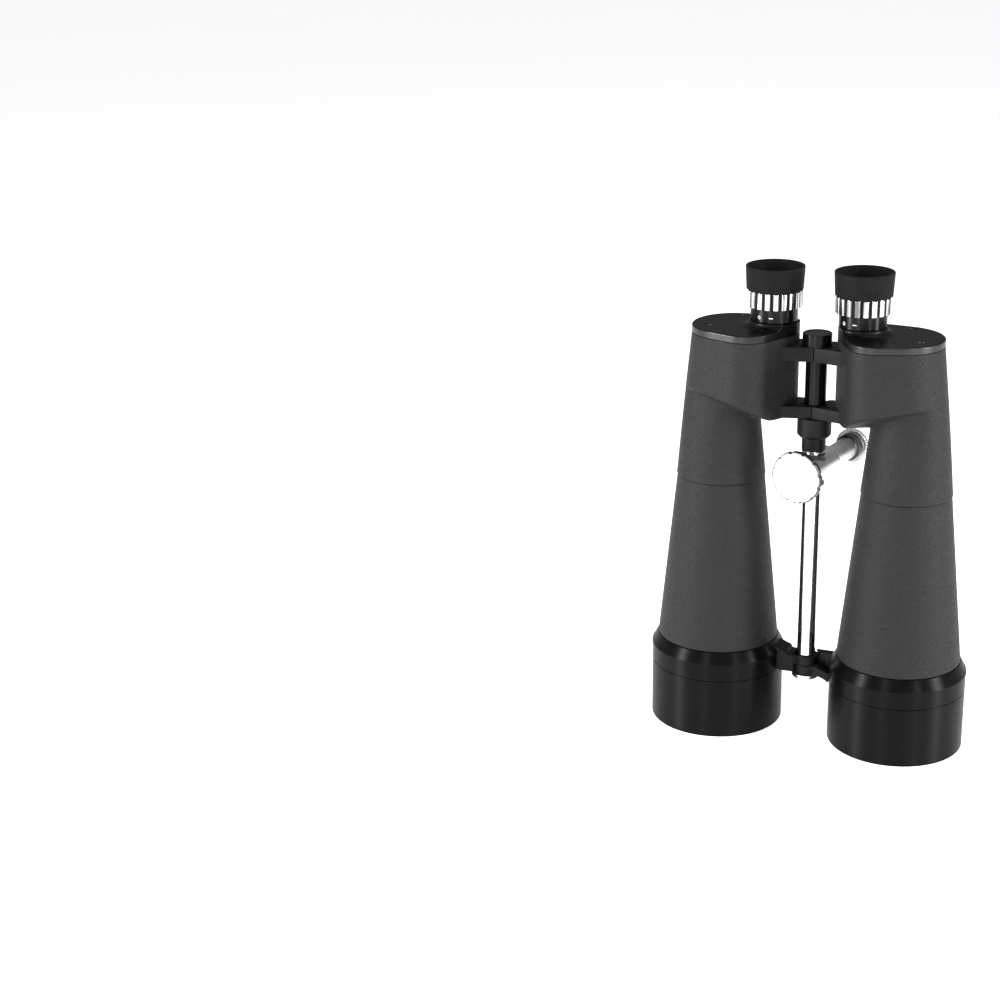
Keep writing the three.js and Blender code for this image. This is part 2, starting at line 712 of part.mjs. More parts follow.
place('rod_socket', turned([
  [rodRadius + GAP, socketBottom], [socketNeckRadius - socketNeckChamfer + 0.4, socketBottom],
  [socketNeckRadius, socketBottom + socketNeckChamfer],
  [socketNeckRadius, socketShoulder - socketChamfer],
  [socketRadius - socketChamfer, socketShoulder - socketChamfer],
  [socketRadius, socketShoulder], [socketRadius, socketTop],
  [pinRadius + GAP, socketTop], [pinRadius + GAP, socketFloor], [rodRadius + GAP, socketFloor],
], MID), castGrey);

place('centre_rod', turned([
  [0, rodPinBottom], [rodPinRadius, rodPinBottom], [rodPinRadius, rodShoulder],
  [rodRadius, rodShoulder], [rodRadius, rodTop], [0, rodTop],
], MID), chrome);

place('rod_end_nut', turned([
  [0, nutDome], [nutRadius * 0.55, nutDome + 0.5], [nutRadius, nutEdge], [nutRadius, nutTop],
  [rodPinRadius + GAP, nutTop], [rodPinRadius + GAP, rodPinBottom - GAP],
  [0, rodPinBottom - GAP],
], MID), satinSilver);

place('rod_stop_clip', combine(
  ring(stopClipRadius, rodRadius + GAP, socketBottom - GAP - stopClipHeight,
    socketBottom - GAP, MID),
  ['subtract', block([-stopClipGap, stopClipGap], [-stopClipRadius - 1, 0],
    [socketBottom - 2 * stopClipHeight, socketBottom])],
), steel);

// ---------------------------------------------------------------- tripod post
// The post is built along +Y about the rod, at its own height, and then turned.
const post = new THREE.Group();
post.position.z = postHeight;
post.rotation.z = -degrees(postTurn);
binoculars.add(post);
const alongY = (geometry) => geometry.rotateX(-Math.PI / 2);
const linerInner = rodRadius + RUNNING_FIT;
const linerOuter = linerInner + linerWall;
const padBack = -linerInner;
const padChamberEnd = padBack - padLength - clampTravel - 0.6;
const footStart = postEnd + GAP;

place('tripod_post', combine(
  alongY(turned([
    [0, postFront], [postBossRadius - 1, postFront], [postBossRadius, postFront + 1],
    [postBossRadius, postBossEnd], [postRadius, postTaperEnd], [postRadius, postBandStart],
    [postBandRadius, postBandStart + 0.8], [postBandRadius, postEnd],
    [postSpigotRadius, postEnd], [postSpigotRadius, postEnd + footThickness],
    [0, postEnd + footThickness],
  ], MID)),
  ['subtract',
    disc(linerOuter + GAP, -postBossRadius - 1, postBossRadius + 1, MID),
    alongY(disc(padRadius + GAP, padChamberEnd, 0, SMALL)),
    alongY(disc(studRadius + GAP, postFront - 1, 0, SMALL)),
    alongY(disc(insertRadius + GAP, postEnd + footThickness - insertDepth - GAP,
      postEnd + footThickness + 1, MID))],
), satinSilver, [0, 0, 0], post);

function postLiner() {
  const spread = degrees(linerWindowAngle);
  const wedge = [[0, 0]];
  for (const turn of [-1, -0.5, 0, 0.5, 1]) {
    wedge.push([2 * linerOuter * Math.sin(turn * spread), -2 * linerOuter * Math.cos(turn * spread)]);
  }
  return combine(
    ring(linerOuter, linerInner, -postBossRadius, postBossRadius, MID),
    ['subtract', plate(wedge, -linerWindowHalf, linerWindowHalf)],
  );
}
place('post_liner', postLiner(), rubber, [0, 0, 0], post);

place('clamp_pad', alongY(disc(padRadius, padBack - padLength, padBack - GAP, SMALL)),
  brass, [0, 0, 0], post);

function clampKnob() {
  const knob = alongY(turned([
    [studRadius + GAP, knobFront + 1.8], [studRadius + GAP, knobHubEnd], [knobHubRadius, knobHubEnd],
    [knobHubRadius, knobFront + knobThickness], [knobRadius, knobFront + knobThickness],
    [knobRadius, knobFront + 0.8], [knobRadius - 0.8, knobFront], [0, knobFront],
    [0, knobFront + 1.8],
  ], BIG));
  const scallops = [];
  for (let i = 0; i < knobScallops; i++) {
    const angle = (2 * Math.PI * i) / knobScallops;
    scallops.push(alongY(disc(knobScallopRadius, knobFront - 1, knobFront + knobThickness + 1, 6))
      .translate((knobRadius + 0.4) * Math.cos(angle), 0, (knobRadius + 0.4) * Math.sin(angle)));
  }
  return combine(knob, ['subtract', ...scallops]);
}
place('clamp_knob', clampKnob(), whiteFace, [0, 0, 0], post);
place('clamp_stud', alongY(disc(studRadius, knobFront + 1.8 + GAP, padBack - padLength - GAP,
  SMALL)), steel, [0, 0, 0], post);

function postFoot() {
  const steps = footNotches * 2;
  const outline = [];
  for (let i = 0; i < steps; i++) {
    const angle = (2 * Math.PI * i) / steps;
    const radius = i % 2 ? footRadius - 0.7 : footRadius;
    outline.push([radius * Math.cos(angle), radius * Math.sin(angle)]);
  }
  return combine(
    alongY(plate(outline, footStart, postEnd + footThickness)),
    ['subtract', alongY(disc(postSpigotRadius + GAP, footStart - 1,
      postEnd + footThickness + 1, MID))],
  );
}
place('post_foot_ring', postFoot(), satinSilver, [0, 0, 0], post);
place('thread_insert', alongY(ring(insertRadius, socketThreadRadius,
  postEnd + footThickness - insertDepth, postEnd + footThickness, MID)),
brass, [0, 0, 0], post);

// ---------------------------------------------------------------- reference point
// The origin is the middle of the footprint, at the level that the hoods stand on.
const turn = degrees(postTurn);
const rearReach = (postEnd + footThickness) * Math.cos(turn) + footRadius * Math.sin(turn);
binoculars.position.y = (flangeRadius - rearReach) / 2;

const part = new THREE.Group();
part.add(binoculars);
export default part;
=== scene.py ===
import math

import bpy
import numpy as np
from mathutils import Matrix, Vector


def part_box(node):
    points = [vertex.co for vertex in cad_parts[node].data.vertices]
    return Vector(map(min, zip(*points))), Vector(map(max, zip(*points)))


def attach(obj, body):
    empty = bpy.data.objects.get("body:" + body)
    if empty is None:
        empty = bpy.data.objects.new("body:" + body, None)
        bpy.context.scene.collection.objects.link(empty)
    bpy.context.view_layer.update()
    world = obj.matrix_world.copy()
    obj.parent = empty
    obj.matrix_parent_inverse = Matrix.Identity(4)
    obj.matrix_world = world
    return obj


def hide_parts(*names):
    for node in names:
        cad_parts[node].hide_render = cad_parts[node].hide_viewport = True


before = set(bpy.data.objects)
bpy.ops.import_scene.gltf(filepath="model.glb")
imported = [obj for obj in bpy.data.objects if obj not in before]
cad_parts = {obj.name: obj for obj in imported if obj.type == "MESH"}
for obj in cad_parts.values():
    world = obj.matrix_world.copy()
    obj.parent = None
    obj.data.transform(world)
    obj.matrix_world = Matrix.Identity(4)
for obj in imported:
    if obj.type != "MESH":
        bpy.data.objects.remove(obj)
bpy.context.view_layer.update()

# --- Objective hoods. ---------------------------------------------------------------------------
# Each objective end starts with a plain aluminium hood, turned, threaded onto the cell and
# finished in satin black. The binoculars stand on the two flat rims.

MM = 0.001
HALVES = (("left", 1.0), ("right", -1.0))
hood_low, hood_high = (np.array(c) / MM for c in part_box("left_objective_hood"))
OBJECTIVE = (hood_low + hood_high)[:2] / 2
HINGE_Y = OBJECTIVE[1]
HOOD_RADIUS = (hood_high - hood_low)[0] / 2
HOOD_TOP = hood_high[2]
HOOD_WALL = 2.2


def rounded(corners, radii, steps=6, closed=True):
    """An outline with round corners. Each corner gives way to the arc that touches both of its
    edges, and one more point just outside each end of the arc keeps the edges flat."""
    corners = np.asarray(corners, float)
    radii = np.broadcast_to(np.asarray(radii, float), (len(corners),))
    before, after = np.roll(corners, 1, 0) - corners, np.roll(corners, -1, 0) - corners
    reach_in, reach_out = np.hypot(*before.T), np.hypot(*after.T)
    before, after = before / reach_in[:, None], after / reach_out[:, None]
    half = np.arccos(np.clip((before * after).sum(1), -1, 1)) / 2
    tangent = np.minimum(radii / np.tan(np.maximum(half, 0.02)),
                         0.45 * np.minimum(reach_in, reach_out))
    ease = np.minimum(0.3, 0.1 * np.minimum(reach_in, reach_out))
    t = np.linspace(0, 1, steps + 1)[None, :, None]
    weight = np.sin(half)[:, None, None]
    start = (corners + before * tangent[:, None])[:, None]
    end = (corners + after * tangent[:, None])[:, None]
    arc = ((1 - t) ** 2 * start + 2 * weight * t * (1 - t) * corners[:, None] + t ** 2 * end)
    arc = arc / ((1 - t) ** 2 + 2 * weight * t * (1 - t) + t ** 2)
    lead = (corners + before * (tangent + ease)[:, None])[:, None]
    trail = (corners + after * (tangent + ease)[:, None])[:, None]
    out = np.concatenate([lead, arc, trail], 1)
    if closed:
        return out.reshape(-1, 2)
    return np.concatenate([corners[:1], out[1:-1].reshape(-1, 2), corners[-1:]])


def turned(profile, around=160, at=(0.0, 0.0)):
    """A surface of revolution: each profile point (radius, height) goes once round a vertical
    axis, as radius times cosine and sine of the turn."""
    turn = np.linspace(0, 2 * np.pi, around, endpoint=False)
    radius, height = np.asarray(profile, float).T
    return np.stack([at[0] + radius[:, None] * np.cos(turn), at[1] + radius[:, None] * np.sin(turn),
                     np.repeat(height[:, None], around, 1)], -1)


def closed_skin(points, loop):
    """Vertices and faces of a grid whose columns close on themselves. With loop the rows close
    too, as on a ring; without it a fan closes each end about the end row's middle."""
    rows, columns = points.shape[:2]
    index = np.arange(rows * columns).reshape(rows, columns)
    a = index if loop else index[:-1]
    b = np.roll(index, -1, 0) if loop else index[1:]
    quads = np.stack([a, np.roll(a, -1, 1), np.roll(b, -1, 1), b], -1).reshape(-1, 4)
    fans = np.zeros((0, 3), int)
    vertices = points.reshape(-1, 3)
    if not loop:
        ends = np.stack([points[0].mean(0), points[-1].mean(0)])
        vertices = np.concatenate([vertices, ends])
        first, last = index[0], index[-1]
        foot, head = np.full(columns, rows * columns), np.full(columns, rows * columns + 1)
        fans = np.concatenate([np.stack([foot, np.roll(first, -1), first], -1),
                               np.stack([head, last, np.roll(last, -1)], -1)])
    triangles = np.concatenate([quads[:, :3], quads[:, [0, 2, 3]], fans])
    p, q, r = (vertices[triangles[:, k]] for k in range(3))
    if (p * np.cross(q, r)).sum() < 0:
        quads, fans = quads[:, ::-1], fans[:, ::-1]
    return vertices, quads, fans


def make_piece(name, grids, finish, body, replaces=()):
    """Joins closed grids, given in millimetres from the hinge axis, into one named piece in the
    frame's metres. A grid goes in alone when its rows close, or as (grid, False) when they end."""
    vertices, faces, start = [], [], 0
    for grid in grids:
        points, loop = grid if isinstance(grid, tuple) else (grid, True)
        v, quads, fans = closed_skin(points, loop)
        vertices.append(v)
        faces += (quads + start).tolist() + (fans + start).tolist()
        start += len(v)
    place = np.concatenate(vertices)
    place = (place + np.array([0.0, HINGE_Y, 0.0])) * MM
    mesh = bpy.data.meshes.new(name)
    mesh.from_pydata(place.tolist(), [], faces)
    mesh.polygons.foreach_set("use_smooth", np.ones(len(mesh.polygons), bool))
    mesh.materials.append(finish.material)
    piece = bpy.data.objects.new(name, mesh)
    bpy.context.scene.collection.objects.link(piece)
    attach(piece, body)
    if replaces:
        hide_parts(*replaces)
    return piece


def make_pair(name, profile, around, x, finish, part, node, loop=True):
    """One turned piece for each half: the profile goes round an upright axis that lies a distance
    x from the hinge. Left half first, then right."""
    for half, side in HALVES:
        make_piece(f"{half}_{name}", [(turned(profile, around, (side * x, 0.0)), loop)], finish,
                   f"{half}_{part}", [f"{half}_{node}"])


def on_side(grid, side):
    """The grid as it is for the left half, or mirrored in the hinge plane for the right half."""
    return grid * np.array([side, 1.0, 1.0])


class Finish:
    """A material under way: the shader's own numbers, and the noise that varies them."""

    def __init__(self, name, **numbers):
        self.material = bpy.data.materials.new(name)
        self.material.use_nodes = True
        self.tree = self.material.node_tree
        self.shader = self.tree.nodes["Principled BSDF"]
        self.place = self.tree.nodes.new("ShaderNodeTexCoord").outputs["Object"]
        for key, value in numbers.items():
            self.shader.inputs[key.replace("_", " ")].default_value = value

    def node(self, kind, inputs=(), **settings):
        made = self.tree.nodes.new(kind)
        for key, value in settings.items():
            setattr(made, key, value)
        for key, value in dict(inputs).items():
            if isinstance(value, bpy.types.NodeSocket):
                self.tree.links.new(value, made.inputs[key])
            else:
                made.inputs[key].default_value = value
        return made

    def noise(self, size, detail=3.0, stretch=(1.0, 1.0, 1.0)):
        """Cloudy noise with features of the given size in metres, drawn out along an axis."""
        where = self.node("ShaderNodeMapping", {"Vector": self.place, "Scale": stretch})
        return self.node("ShaderNodeTexNoise", {"Vector": where.outputs[0], "Scale": 1 / size,
                                                "Detail": detail}).outputs["Fac"]

    def cells(self, size, soft=0.6):
        """Rounded pebbles of the given size in metres, high in the middle."""
        grain = self.node("ShaderNodeTexVoronoi", {"Vector": self.place, "Scale": 1 / size,
                                                   "Smoothness": soft}, feature="SMOOTH_F1")
        return grain.outputs["Distance"]

    def ramp(self, factor, low, high, start=0.3, end=0.7):
        """Blends one number or colour into another as the factor goes from start to end."""
        made = self.node("ShaderNodeValToRGB", {"Fac": factor})
        made.color_ramp.elements[0].position, made.color_ramp.elements[1].position = start, end
        for element, value in zip(made.color_ramp.elements, (low, high)):
            element.color = (*value, 1.0) if hasattr(value, "__len__") else (value,) * 3 + (1.0,)
        return made.outputs["Color"]

    def mix(self, factor, a, b):
        made = self.node("ShaderNodeMix", {0: factor, 6: a, 7: b}, data_type="RGBA")
        return made.outputs[2]

    def sum(self, a, b, share=1.0):
        return self.node("ShaderNodeMath", {0: b, 1: share, 2: a},
                         operation="MULTIPLY_ADD").outputs[0]

    def feed(self, **sockets):
        for key, value in sockets.items():
            self.tree.links.new(value, self.shader.inputs[key.replace("_", " ")])
        return self

    def tones(self, clouds, dark, light, grain, smooth, rough):
        """Colour that drifts between two tones, and roughness that drifts between two numbers."""
        return self.feed(Base_Color=self.ramp(clouds, dark, light),
                         Roughness=self.ramp(grain, smooth, rough))

    def drawn_out(self, amount, axis):
        """Fine turning marks round an axis: they draw each highlight out along it."""
        self.shader.inputs["Anisotropic"].default_value = amount
        way = self.node("ShaderNodeCombineXYZ", dict(zip("XYZ", axis)))
        return self.feed(Tangent=way.outputs[0])

    def bump(self, height, depth, strength=1.0):
        """Relief of the given depth in metres where the height goes from 0 to 1."""
        made = self.node("ShaderNodeBump", {"Height": height, "Distance": depth,
                                            "Strength": strength})
        self.tree.links.new(made.outputs["Normal"], self.shader.inputs["Normal"])
        return self


UPRIGHT = (0.03, 0.02, 1.0)
satin = Finish("satin_black_enamel", Specular_IOR_Level=0.1)
satin.tones(satin.noise(0.006), (0.0016, 0.0016, 0.0017), (0.0024, 0.0024, 0.0025),
            satin.noise(0.003, 5.0), 0.36, 0.42)
satin.drawn_out(0.9, UPRIGHT)
satin.bump(satin.noise(0.00035, 2.0), 0.000012, 0.6)

inner = HOOD_RADIUS - HOOD_WALL
hood_profile = rounded([(inner, 0.0), (HOOD_RADIUS, 0.0), (HOOD_RADIUS, HOOD_TOP), (inner, HOOD_TOP)],
                       [0.6, 0.7, 0.25, 0.25])
make_pair("hood", hood_profile, 240, OBJECTIVE[0], satin, "half", "objective_hood")

# --- Objective cells and bridge. ----------------------------------------------------------------
# A turned aluminium ring with a bevelled shoulder holds each pair of lenses. Its cast arm ends in
# a lug on the rod's pin, one lug above the other, so that the two barrels fold together.

CELL_FOOT, CELL_LAND, CELL_BEVEL_TOP = HOOD_TOP + 0.3, 54.4, 63.4
CELL_BEVEL_FOOT, FLANGE_RADIUS, SHOULDER_RADIUS = 55.8, 47.4, 43.1
BRIDGE_FOOT, BRIDGE_SPLIT, LUG_TOP, WEB_TOP = 41.4, 48.2, 54.9, 56.4
LUG_RADIUS, LUG_BORE, LUG_PLAY = 8.6, 4.55, 0.15
ARM_HALF_WIDTH, ARM_BEND = 8.0, 18.3
SPIGOT_RADIUS, SPIGOT_TOP, LENS_BORE, LIGHT_BORE, LENS_SEAT = 40.3, 70.0, 41.3, 38.9, 57.0


def bar(front, back, low, high, edge, blunt=0.0, steps=4):
    """A cast bar: at each station of its path a rectangle with round corners spans from the front
    rail to the back rail and from the low to the high level. The first station is drawn in by
    the blunt radius along a quarter circle."""
    front, back = np.asarray(front, float), np.asarray(back, float)
    low, high = np.broadcast_to(low, len(front)), np.broadcast_to(high, len(front))
    if blunt:
        swing = np.linspace(0, np.pi / 2, 4)
        pull = np.concatenate([blunt * (1 - np.sin(swing)), np.zeros(len(front) - 1)])
        along = blunt * (1 - np.cos(swing))
        step = (front[1] - front[0], back[1] - back[0])
        start_f = front[0] + along[:, None] * step[0] / np.hypot(*step[0])
        start_b = back[0] + along[:, None] * step[1] / np.hypot(*step[1])
        front, back = np.concatenate([start_f, front[1:]]), np.concatenate([start_b, back[1:]])
        low = np.concatenate([np.full(4, low[0]), low[1:]])
        high = np.concatenate([np.full(4, high[0]), high[1:]])
    else:
        pull = np.zeros(len(front))
    width = np.hypot(*(back - front).T)
    turn = np.linspace(0, np.pi / 2, steps + 1)
    q, z = [], []
    for sq, sz, angle in ((0, 0, np.pi), (1, 0, 1.5 * np.pi), (1, 1, 0.0), (0, 1, 0.5 * np.pi)):
        angles = angle + turn
        q.append((sq, np.cos(angles)))
        z.append((sz, np.sin(angles)))
    share = np.concatenate([np.full(steps + 1, s, float) for s, _ in q])
    swing_q = np.concatenate([c for _, c in q])
    level = np.concatenate([np.full(steps + 1, s, float) for s, _ in z])
    swing_z = np.concatenate([c for _, c in z])
    inset = edge + pull[:, None]
    across = inset + share * (width[:, None] - 2 * inset) + swing_q * edge
    rise = low[:, None] + inset + level * ((high - low)[:, None] - 2 * inset) + swing_z * edge
    run = across / width[:, None]
    plan = front[:, None] + run[..., None] * (back - front)[:, None]
    return np.concatenate([plan, rise[..., None]], -1)


def web_bar(stations, widths, low, high, edge):
    """A bar that lies along x and is as wide as the given widths at its stations."""
    widths = np.asarray(widths)
    return bar(np.stack([stations, -widths], -1), np.stack([stations, widths], -1), low, high, edge)


def smooth_path(keys, count):
    """Points spread evenly in parameter through the key points, each key eased into the next by
    a Catmull-Rom curve."""
    keys = np.asarray(keys, float)
    keys = np.concatenate([2 * keys[:1] - keys[1:2], keys, 2 * keys[-1:] - keys[-2:-1]])
    t = np.linspace(0, len(keys) - 3 - 1e-6, count)
    k, u = t.astype(int), (t % 1)[:, None]
    a, b, c, d = keys[k], keys[k + 1], keys[k + 2], keys[k + 3]
    return 0.5 * (2 * b + (c - a) * u + (2 * a - 5 * b + 4 * c - d) * u ** 2
                  + (3 * b - a - 3 * c + d) * u ** 3)


cell_profile = rounded(
    [(LENS_BORE, 36.6), (44.5, 36.6), (44.5, CELL_FOOT), (47.0, CELL_FOOT), (47.0, CELL_LAND),
     (FLANGE_RADIUS, CELL_LAND), (FLANGE_RADIUS, CELL_BEVEL_FOOT), (SHOULDER_RADIUS, CELL_BEVEL_TOP),
     (SPIGOT_RADIUS, CELL_BEVEL_TOP), (SPIGOT_RADIUS, SPIGOT_TOP), (LIGHT_BORE, SPIGOT_TOP),
     (LIGHT_BORE, LENS_SEAT), (LENS_BORE, LENS_SEAT)],
    [0.3, 0.3, 0.1, 0.3, 0.1, 0.15, 0.5, 0.35, 0.1, 0.2, 0.2, 0.1, 0.1], 4)

cast_black = Finish("cast_black_enamel", Specular_IOR_Level=0.15)
cast_black.tones(cast_black.noise(0.004), (0.0042, 0.0042, 0.0043), (0.0064, 0.0064, 0.0065),
                 cast_black.noise(0.002, 5.0), 0.42, 0.55)
cast_black.bump(cast_black.noise(0.0007, 4.0), 0.00004, 0.5)

make_pair("cell", cell_profile, 240, OBJECTIVE[0], satin, "half", "objective_cell")
fair = np.linspace(0, 1, 24)
for half, side in HALVES:
    upper = side < 0
    x = np.concatenate([np.linspace(6.5, 18.2, 26), np.linspace(18.35, 25.0, 8)])
    rails = [np.stack([x, np.full_like(x, y)], -1) for y in (-ARM_HALF_WIDTH, ARM_HALF_WIDTH)]
    if upper:
        step_up = 2.9 / (1 + np.exp(-(x - 12.2) * 3.0))
        high = LUG_TOP + step_up + 2.6 * np.clip((x - 13.0) / 7.0, 0, 1) ** 1.3
        low = np.where(x < ARM_BEND, 42.2, 43.3)
        arms = [bar(*rails, low, high, 1.0, 0.8)]
    else:
        fall = np.clip((x - 7.0) / 11.2, 0, 1)
        low = np.where(x < ARM_BEND, BRIDGE_FOOT + 0.2 - 4.0 * fall ** 2.4, 43.3)
        high = np.where(x < ARM_BEND, 49.0 - 4.4 * fall ** 1.5, 45.0)
        arms = [bar(*rails, low, high, 0.9, 0.8),
                bar(np.stack([9.5 + 15.5 * fair, np.full_like(fair, 0.8)], -1),
                    np.stack([6.0 + 19.0 * fair, np.full_like(fair, 7.6)], -1), 43.5, WEB_TOP, 0.5, 0.3)]
    level = (BRIDGE_SPLIT + LUG_PLAY, LUG_TOP) if upper else (BRIDGE_FOOT, BRIDGE_SPLIT - LUG_PLAY)
    lug = rounded([(LUG_BORE, level[0]), (LUG_RADIUS, level[0]), (LUG_RADIUS, level[1]),
                   (LUG_BORE, level[1])], [0.2, 0.5, 0.5, 0.2], 4)
    web = web_bar((4.7, 8.0, 12.0), (7.2, 7.8, 8.0), *level, 0.5)
    make_piece(f"{half}_bridge_arm", [turned(lug, 64), (on_side(web, side), False)]
               + [(on_side(arm, side), False) for arm in arms],
               cast_black, f"{half}_half", [f"{half}_objective_cell"])

# --- Objective lenses. --------------------------------------------------------------------------
# A cemented-looking air-spaced pair: a crown lens in front and a flint lens behind it, coated,
# dropped into the cell and held by a threaded black ring.

coated = Finish("coated_lens_glass", Transmission_Weight=0.92, IOR=1.52, Roughness=0.02,
                Coat_Weight=0.35, Coat_Roughness=0.05, Coat_Tint=(0.35, 0.75, 0.62, 1.0))
coated.feed(Base_Color=coated.ramp(coated.noise(0.02), (0.80, 0.93, 0.90), (0.86, 0.96, 0.93)))


def lens_profile(radius, foot, head, front_sag, back_sag, rows=14):
    """Half the section of a lens: out along the front curve, up the edge and back along the rear
    curve, each curve a parabola in radius."""
    r = np.linspace(0, 1, rows)
    front = np.stack([r * radius, foot - front_sag * (1 - r ** 2)], -1)
    back = np.stack([r[::-1] * radius, head + back_sag * (1 - r[::-1] ** 2)], -1)
    return np.concatenate([front[1:], back[:-1]])


def refinish(node, finish):
    """Gives a CAD node that is kept as it is the finish in place of its own."""
    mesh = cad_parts[node].data
    mesh.materials.clear()
    mesh.materials.append(finish.material)


crown_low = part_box("left_crown_lens")[0][2] / MM
CROWN_RADIUS, CROWN_EDGE, CROWN_FRONT_SAG, CROWN_BACK_SAG = 41.0, 3.5, 3.4, 2.5
RING_BORE = 38.6
crown_edge = crown_low + CROWN_FRONT_SAG
crown = lens_profile(CROWN_RADIUS, crown_edge, crown_edge + CROWN_EDGE, CROWN_FRONT_SAG, CROWN_BACK_SAG)
make_pair("front_lens", crown, 128, OBJECTIVE[0], coated, "half", "crown_lens", False)
low, high = (c[2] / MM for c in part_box("left_lens_ring"))
ring_profile = rounded([(RING_BORE, low), (CROWN_RADIUS, low), (CROWN_RADIUS, high), (RING_BORE, high)],
                       [0.5, 0.2, 0.2, 0.5], 4)
make_pair("retaining_ring", ring_profile, 160, OBJECTIVE[0], satin, "half", "lens_ring")
for half, side in HALVES:
    refinish(f"{half}_flint_lens", coated)

# --- Objective barrels. -------------------------------------------------------------------------
# Each barrel is a drawn aluminium cone under a tight black covering with a fine pebbled grain.
# It slips over the cell's spigot and screws into the prism housing.

SEAM, LIP_RADIUS, TUBE_TAPER, CONE_FOOT = 184.0, 31.1, 0.106, 42.8
SCREWED_END, SCREWED_BORE = 27.9, 26.2

leatherette = Finish("pebbled_covering", Specular_IOR_Level=0.2)
pebbles = leatherette.cells(0.0011)
crease = leatherette.noise(0.0007, 4.0)
relief = leatherette.sum(leatherette.sum(crease, pebbles, -0.8), leatherette.noise(0.003, 2.0), 0.6)
shade = leatherette.ramp(pebbles, (0.0152, 0.0152, 0.0155), (0.0106, 0.0106, 0.0109), 0.2, 0.8)
worn = leatherette.ramp(leatherette.noise(0.016, 4.0), (0.92, 0.92, 0.92), (1.0, 1.0, 1.0))
tone = leatherette.node("ShaderNodeMix", {0: 1.0, 6: shade, 7: worn}, data_type="RGBA",
                        blend_type="MULTIPLY")
leatherette.feed(Base_Color=tone.outputs[2],
                 Roughness=leatherette.ramp(pebbles, 0.50, 0.66, 0.2, 0.7))
leatherette.bump(relief, 0.00022, 0.8)

barrel_profile = rounded(
    [(40.6, 63.7), (CONE_FOOT, 63.7), (LIP_RADIUS - 0.5, SEAM - 0.3),
     (SCREWED_END, SEAM - 0.3), (SCREWED_END, 193.7), (SCREWED_BORE, 193.7),
     (SCREWED_BORE, SEAM - 4.3), (39.5, 70.6), (40.6, 70.6)],
    [0.2, 0.5, 0.45, 0.1, 0.2, 0.2, 0.5, 0.1, 0.1], 4)
cone_rows = np.linspace(0, 1, 40)[1:-1, None]
split = 2 * 7                       # seven points to a corner, and the cone starts after the second
foot, head = barrel_profile[split - 1], barrel_profile[split]
barrel_profile = np.concatenate([barrel_profile[:split], foot + (head - foot) * cone_rows,
                                 barrel_profile[split:]])
make_pair("barrel", barrel_profile, 240, OBJECTIVE[0], leatherette, "half",
          "objective_barrel")

# --- Prism housings. ----------------------------------------------------------------------------
# A thin-walled aluminium casting: a tapered tube that runs up into a drum for the two prisms. The
# drum's underside climbs away from the hinge. The same covering is stretched over it.

HOUSING_TOP, HOUSING_FOOT, HOUSING_WALL = 288.0, 222.0, 2.6
DRUM_CIRCLES = np.array([(56.0, -3.0, 30.4), (44.0, -19.0, 19.0), (28.0, 3.0, 14.5), (44.0, 10.0, 19.0)])
DRUM_INNER_X, DRUM_FLARE_X, DRUM_FLARE_Y = 13.5, 0.073, 0.045
UNDERSIDE_START, MOUTH_RADIUS, PLAIN_REACH = 236.0, 28.2, 7.0


def drum_outline(centre, columns):
    """The outline pulled tight round four circles, given at even turns about a centre: the
    outermost circle's point in every direction, joined up and read off by its bearing."""
    angle = np.linspace(0, 2 * np.pi, 20000, endpoint=False)
    cx, cy, cr = DRUM_CIRCLES.T
    reach = cx * np.cos(angle)[:, None] + cy * np.sin(angle)[:, None] + cr
    far = reach.argmax(1)
    x, y = cx[far] + cr[far] * np.cos(angle), cy[far] + cr[far] * np.sin(angle)
    jump = np.hypot(np.diff(x, append=x[:1]), np.diff(y, append=y[:1]))
    s = np.concatenate([[0], np.cumsum(jump)])
    x, y = np.append(x, x[0]), np.append(y, y[0])
    even = np.linspace(0, s[-1], 8000, endpoint=False)
    x, y = np.interp(even, s, x), np.interp(even, s, y)
    bearing = np.unwrap(np.arctan2(y - centre[1], x - centre[0]))
    order = np.argsort(bearing % (2 * np.pi))
    want = np.linspace(0, 2 * np.pi, columns, endpoint=False)
    at = (bearing % (2 * np.pi))[order]
    return np.stack([np.interp(want, at, x[order], period=2 * np.pi),
                     np.interp(want, at, y[order], period=2 * np.pi)], -1)


def drum_point(outline, z):
    """The drum's wall at a height: the outline, a little wider for each millimetre downward."""
    drop = (HOUSING_TOP - z) / (HOUSING_TOP - HOUSING_FOOT)
    return np.stack([DRUM_INNER_X + (outline[..., 0] - DRUM_INNER_X) * (1 + DRUM_FLARE_X * drop),
                     outline[..., 1] * (1 + DRUM_FLARE_Y * drop)], -1)


def soft_excess(value, ease):
    """The value where it is well above zero and nothing below, with an eased bend between."""
    return (value + np.sqrt(value ** 2 + ease ** 2)) / 2


def underside(x, y):
    """Height of the drum's underside: level beside the hinge, then rising outward and rising
    again forward and back of the middle."""
    return 230.5 + 0.34 * soft_excess(x - 30.0, 4.0) + 0.5 * soft_excess(np.abs(y) - 22.0, 3.0)


def tube_radius(z):
    return LIP_RADIUS - TUBE_TAPER * (z - SEAM)


def eased_corner(a, corner, b, radius, count):
    """Rows that round a corner between two straight runs, column by column: a parabola whose
    ends lie a radius away along each run, or less where a run is short."""
    ra, rb = a - corner, b - corner
    la = np.maximum(np.hypot(ra[..., 0], ra[..., 1]), 1e-6)[..., None]
    lb = np.maximum(np.hypot(rb[..., 0], rb[..., 1]), 1e-6)[..., None]
    cut = np.minimum(radius, 0.48 * np.minimum(la, lb))
    start, end = corner + ra / la * cut, corner + rb / lb * cut
    t = np.linspace(0, 1, count)[:, None, None]
    return (1 - t) ** 2 * start + 2 * t * (1 - t) * corner + t ** 2 * end


def between(a, b, count):
    """Evenly spaced rows between two rows, without the two themselves."""
    t = np.linspace(0, 1, count + 2)[1:-1, None, None]
    return a + (b - a) * t


